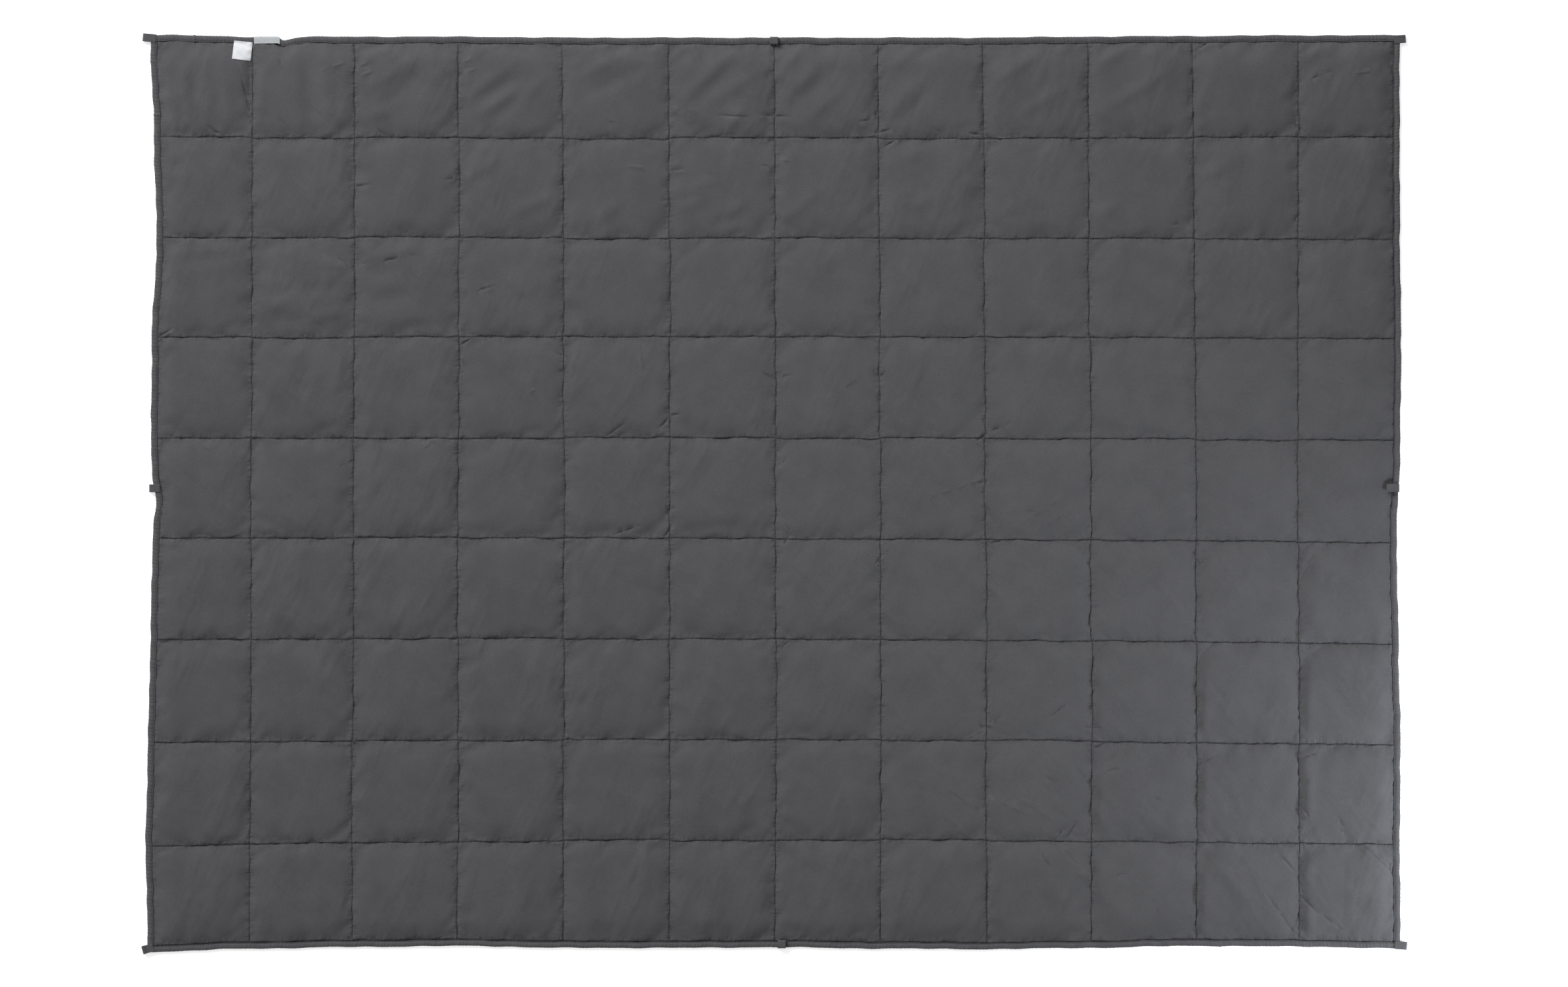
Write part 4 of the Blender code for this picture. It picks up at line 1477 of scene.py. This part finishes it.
def surface_of(piece: bpy.types.Object) -> BVHTree:
    """A tree of a piece's faces, for finding its height."""
    mesh = piece.data
    return BVHTree.FromPolygons([v.co for v in mesh.vertices], [p.vertices for p in mesh.polygons])


def height_on(tree: BVHTree, x: float, y: float) -> float:
    """Height of a surface at a place, in millimetres; below the floor where there is none."""
    hit = tree.ray_cast(Vector((x * MM, y * MM, 1.0)), Vector((0, 0, -1)))
    return hit[0].z / MM if hit[0] else -1.0


# ---------------------------------------------------------------- sewing


@dataclass
class Sewing:
    """The thread: a row of short stitches along each channel, and one along the binding."""

    pitch: float = 4.4
    length: float = 3.0
    thick: float = 0.8
    lift: float = 0.1  # over the channels' cloth
    inset: float = 8.7
    sink: float = 0.35  # into the binding's face
    look_ahead: float = 0.5

    def row(self, path: np.ndarray) -> bpy.types.Mesh:
        """Set stitches one behind the other.

        Args:
            path: Points that they follow.

        Returns:
            A mesh of them all.
        """
        steps = np.linalg.norm(np.diff(path, axis=0), axis=1)
        along = np.concatenate([[0], np.cumsum(steps)])
        places = np.arange(self.pitch / 2, along[-1], self.pitch)
        spots, ahead = (
            np.stack([np.interp(places + further, along, path[:, way]) for way in range(3)], axis=1)
            for further in (0, self.look_ahead)
        )
        size = Matrix.Diagonal((self.length * MM, self.thick * MM, self.thick * MM, 1))
        bm = bmesh.new()
        for spot, run in zip(spots, ahead - spots):
            turn = Matrix.Rotation(math.atan2(run[1], run[0]), 4, "Z")
            bmesh.ops.create_cube(bm, size=1, matrix=Matrix.Translation(Vector(spot) * MM) @ turn @ size)
        mesh = bpy.data.meshes.new("row")
        bm.to_mesh(mesh)
        bm.free()
        return mesh

    def join(
        self, name: str, paths: Sequence[np.ndarray], material: bpy.types.Material
    ) -> bpy.types.Object:
        """Join rows of stitches into one piece.

        Args:
            name: The piece's name.
            paths: A path of points for each row.
            material: The thread.

        Returns:
            The piece.
        """
        bm = bmesh.new()
        for path in paths:
            mesh = self.row(path)
            bm.from_mesh(mesh)
            bpy.data.meshes.remove(mesh)
        piece = make_piece(name, bm, material)
        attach(piece, "root")
        return piece

    def build(self, quilt: Quilt, material: bpy.types.Material) -> bpy.types.Object:
        """Stitch the quilt's channels along the sewn lines of its top.

        Args:
            quilt: The quilt, already built.
            material: The thread.

        Returns:
            The channels' stitches.
        """
        lift = np.array([0, 0, self.lift])
        upright = [quilt.points[i, 1:-1] + lift for i in np.flatnonzero(quilt.share_x == 0)[2:-2]]
        level = [quilt.points[1:-1, j] + lift for j in np.flatnonzero(quilt.share_y == 0)[2:-2]]
        return self.join("quilting_thread", upright + level, material)

    def hem(self, bindings: Sequence[Binding], material: bpy.types.Material) -> bpy.types.Object:
        """Stitch along the bindings' inner edges.

        Args:
            bindings: The strips.
            material: The thread.

        Returns:
            The bindings' stitches.
        """
        paths = []
        for binding in bindings:
            height = binding.middle + binding.half - self.sink
            frames = stand(binding.side, binding.spots())
            paths.append(np.array([at + inward * self.inset + up * height for at, inward, up in frames]))
        return self.join("binding_thread", paths, material)


# ---------------------------------------------------------------- studio


class Lamp(NamedTuple):
    """A lamp: where it stands and what it points at, in metres, its power, and its own settings."""

    name: str
    kind: str
    place: tuple[float, float, float]
    aim: tuple[float, float, float]
    power: float
    settings: dict[str, Any]


LAMPS = (
    Lamp("key", "SUN", (-2.0, 2.4, 1.95), (0, 0, 0), 2.3, {"angle": math.radians(25)}),
    Lamp("upper_left_lamp", "AREA", (-1.6, 3.0, 2.6), (0, 0, 0), 80.0, {"size": 1.2}),
    Lamp(
        "lower_right_fill",
        "SPOT",
        (2.34, -1.22, 0.6),
        (1.59, -0.77, 0),
        365.0,
        {
            "spot_size": math.radians(53),
            "spot_blend": 1.0,
            "shadow_soft_size": 0.2,
            "color": (0.89, 0.92, 1.0),
        },
    ),
)


@dataclass
class Studio:
    """A pale floor, soft light from the upper left and a camera straight above."""

    middle: float = 15.9
    frame_width: float = 2554.9
    lens: float = 200.0
    sensor: float = 36.0
    plane: float = 5.0  # height of what fills the frame's width
    far: float = 100.0
    floor: float = 12.0
    paper: str = "#f7f7f7"
    white: Colour = (1.0, 1.0, 1.0, 1.0)
    glow: float = 0.5  # the paper is lit from below too, so that it stays white
    room: float = 0.47

    def camera(self) -> None:
        """Hang the camera straight above, so that the frame is as wide as the photograph's."""
        eye = bpy.data.cameras.new("eye")
        eye.lens, eye.sensor_width, eye.clip_end = self.lens, self.sensor, self.far
        camera = bpy.data.objects.new("eye", eye)
        height = self.frame_width * self.lens / self.sensor + self.plane
        camera.location = (self.middle * MM, 0, height * MM)
        bpy.context.scene.collection.objects.link(camera)
        bpy.context.scene.camera = camera

    def ground(self) -> None:
        """Lay the floor: matt white paper."""
        bm = bmesh.new()
        bmesh.ops.create_grid(bm, x_segments=1, y_segments=1, size=self.floor)
        mesh = bpy.data.meshes.new("floor")
        bm.to_mesh(mesh)
        bm.free()
        paper, _ = start_finish(
            "pale_paper",
            {
                "Base Color": linear(self.paper),
                "Roughness": 1.0,
                "Specular IOR Level": 0.0,
                "Emission Color": self.white,
                "Emission Strength": self.glow,
            },
        )
        mesh.materials.append(paper)
        floor = bpy.data.objects.new("floor", mesh)
        bpy.context.scene.collection.objects.link(floor)

    def light(self, lamp: Lamp) -> None:
        """Hang a lamp.

        Args:
            lamp: The lamp.
        """
        data = bpy.data.lights.new(lamp.name, lamp.kind)
        data.energy = lamp.power
        for setting, value in lamp.settings.items():
            setattr(data, setting, value)
        made = bpy.data.objects.new(lamp.name, data)
        made.location = lamp.place
        towards = Vector(lamp.aim) - Vector(lamp.place)
        made.rotation_euler = towards.to_track_quat("-Z", "Y").to_euler()
        bpy.context.scene.collection.objects.link(made)

    def build(self) -> None:
        """Set up the camera, the floor, the lamps and the air round them."""
        self.camera()
        self.ground()
        for lamp in LAMPS:
            self.light(lamp)
        scene = bpy.context.scene
        scene.world = bpy.data.worlds.new("room")
        scene.world.use_nodes = True
        air = scene.world.node_tree.nodes["Background"]
        air.inputs[0].default_value, air.inputs[1].default_value = self.white, self.room
        scene.view_settings.view_transform = "Standard"
        scene.view_settings.look = "None"


def report(piece: bpy.types.Object) -> bpy.types.Object:
    """Log a finished piece's name and how many faces it has, and hand it on."""
    LOG.info("%s: %d faces", piece.name, len(piece.data.polygons))
    return piece


def main() -> None:
    """Build the dressed blanket over its frame, piece by piece."""
    logging.basicConfig(level=logging.INFO, format="%(name)s: %(message)s")
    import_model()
    Studio().build()
    quilt = Quilt()
    body = report(quilt.build())
    tape = BINDING_TAPE.make()
    bindings = {side: Binding(side, laps=LAPS.get(side, ())) for side in Side}
    strips = {side: report(binding.build(tape, body)) for side, binding in bindings.items()}
    loop_tape = LOOP_TAPE.make()
    for loop in LOOPS:
        report(loop.build(loop_tape, bindings[loop.side]))
    report(CareLabel().build(SATIN.make(), [body, strips[Side.TOP]]))
    report(SideLabel().build(RIBBON.make(), bindings[Side.TOP]))
    thread = THREAD.make()
    sewing = Sewing()
    report(sewing.build(quilt, thread))
    report(sewing.hem(list(bindings.values()), thread))


if __name__ == "__main__":
    main()
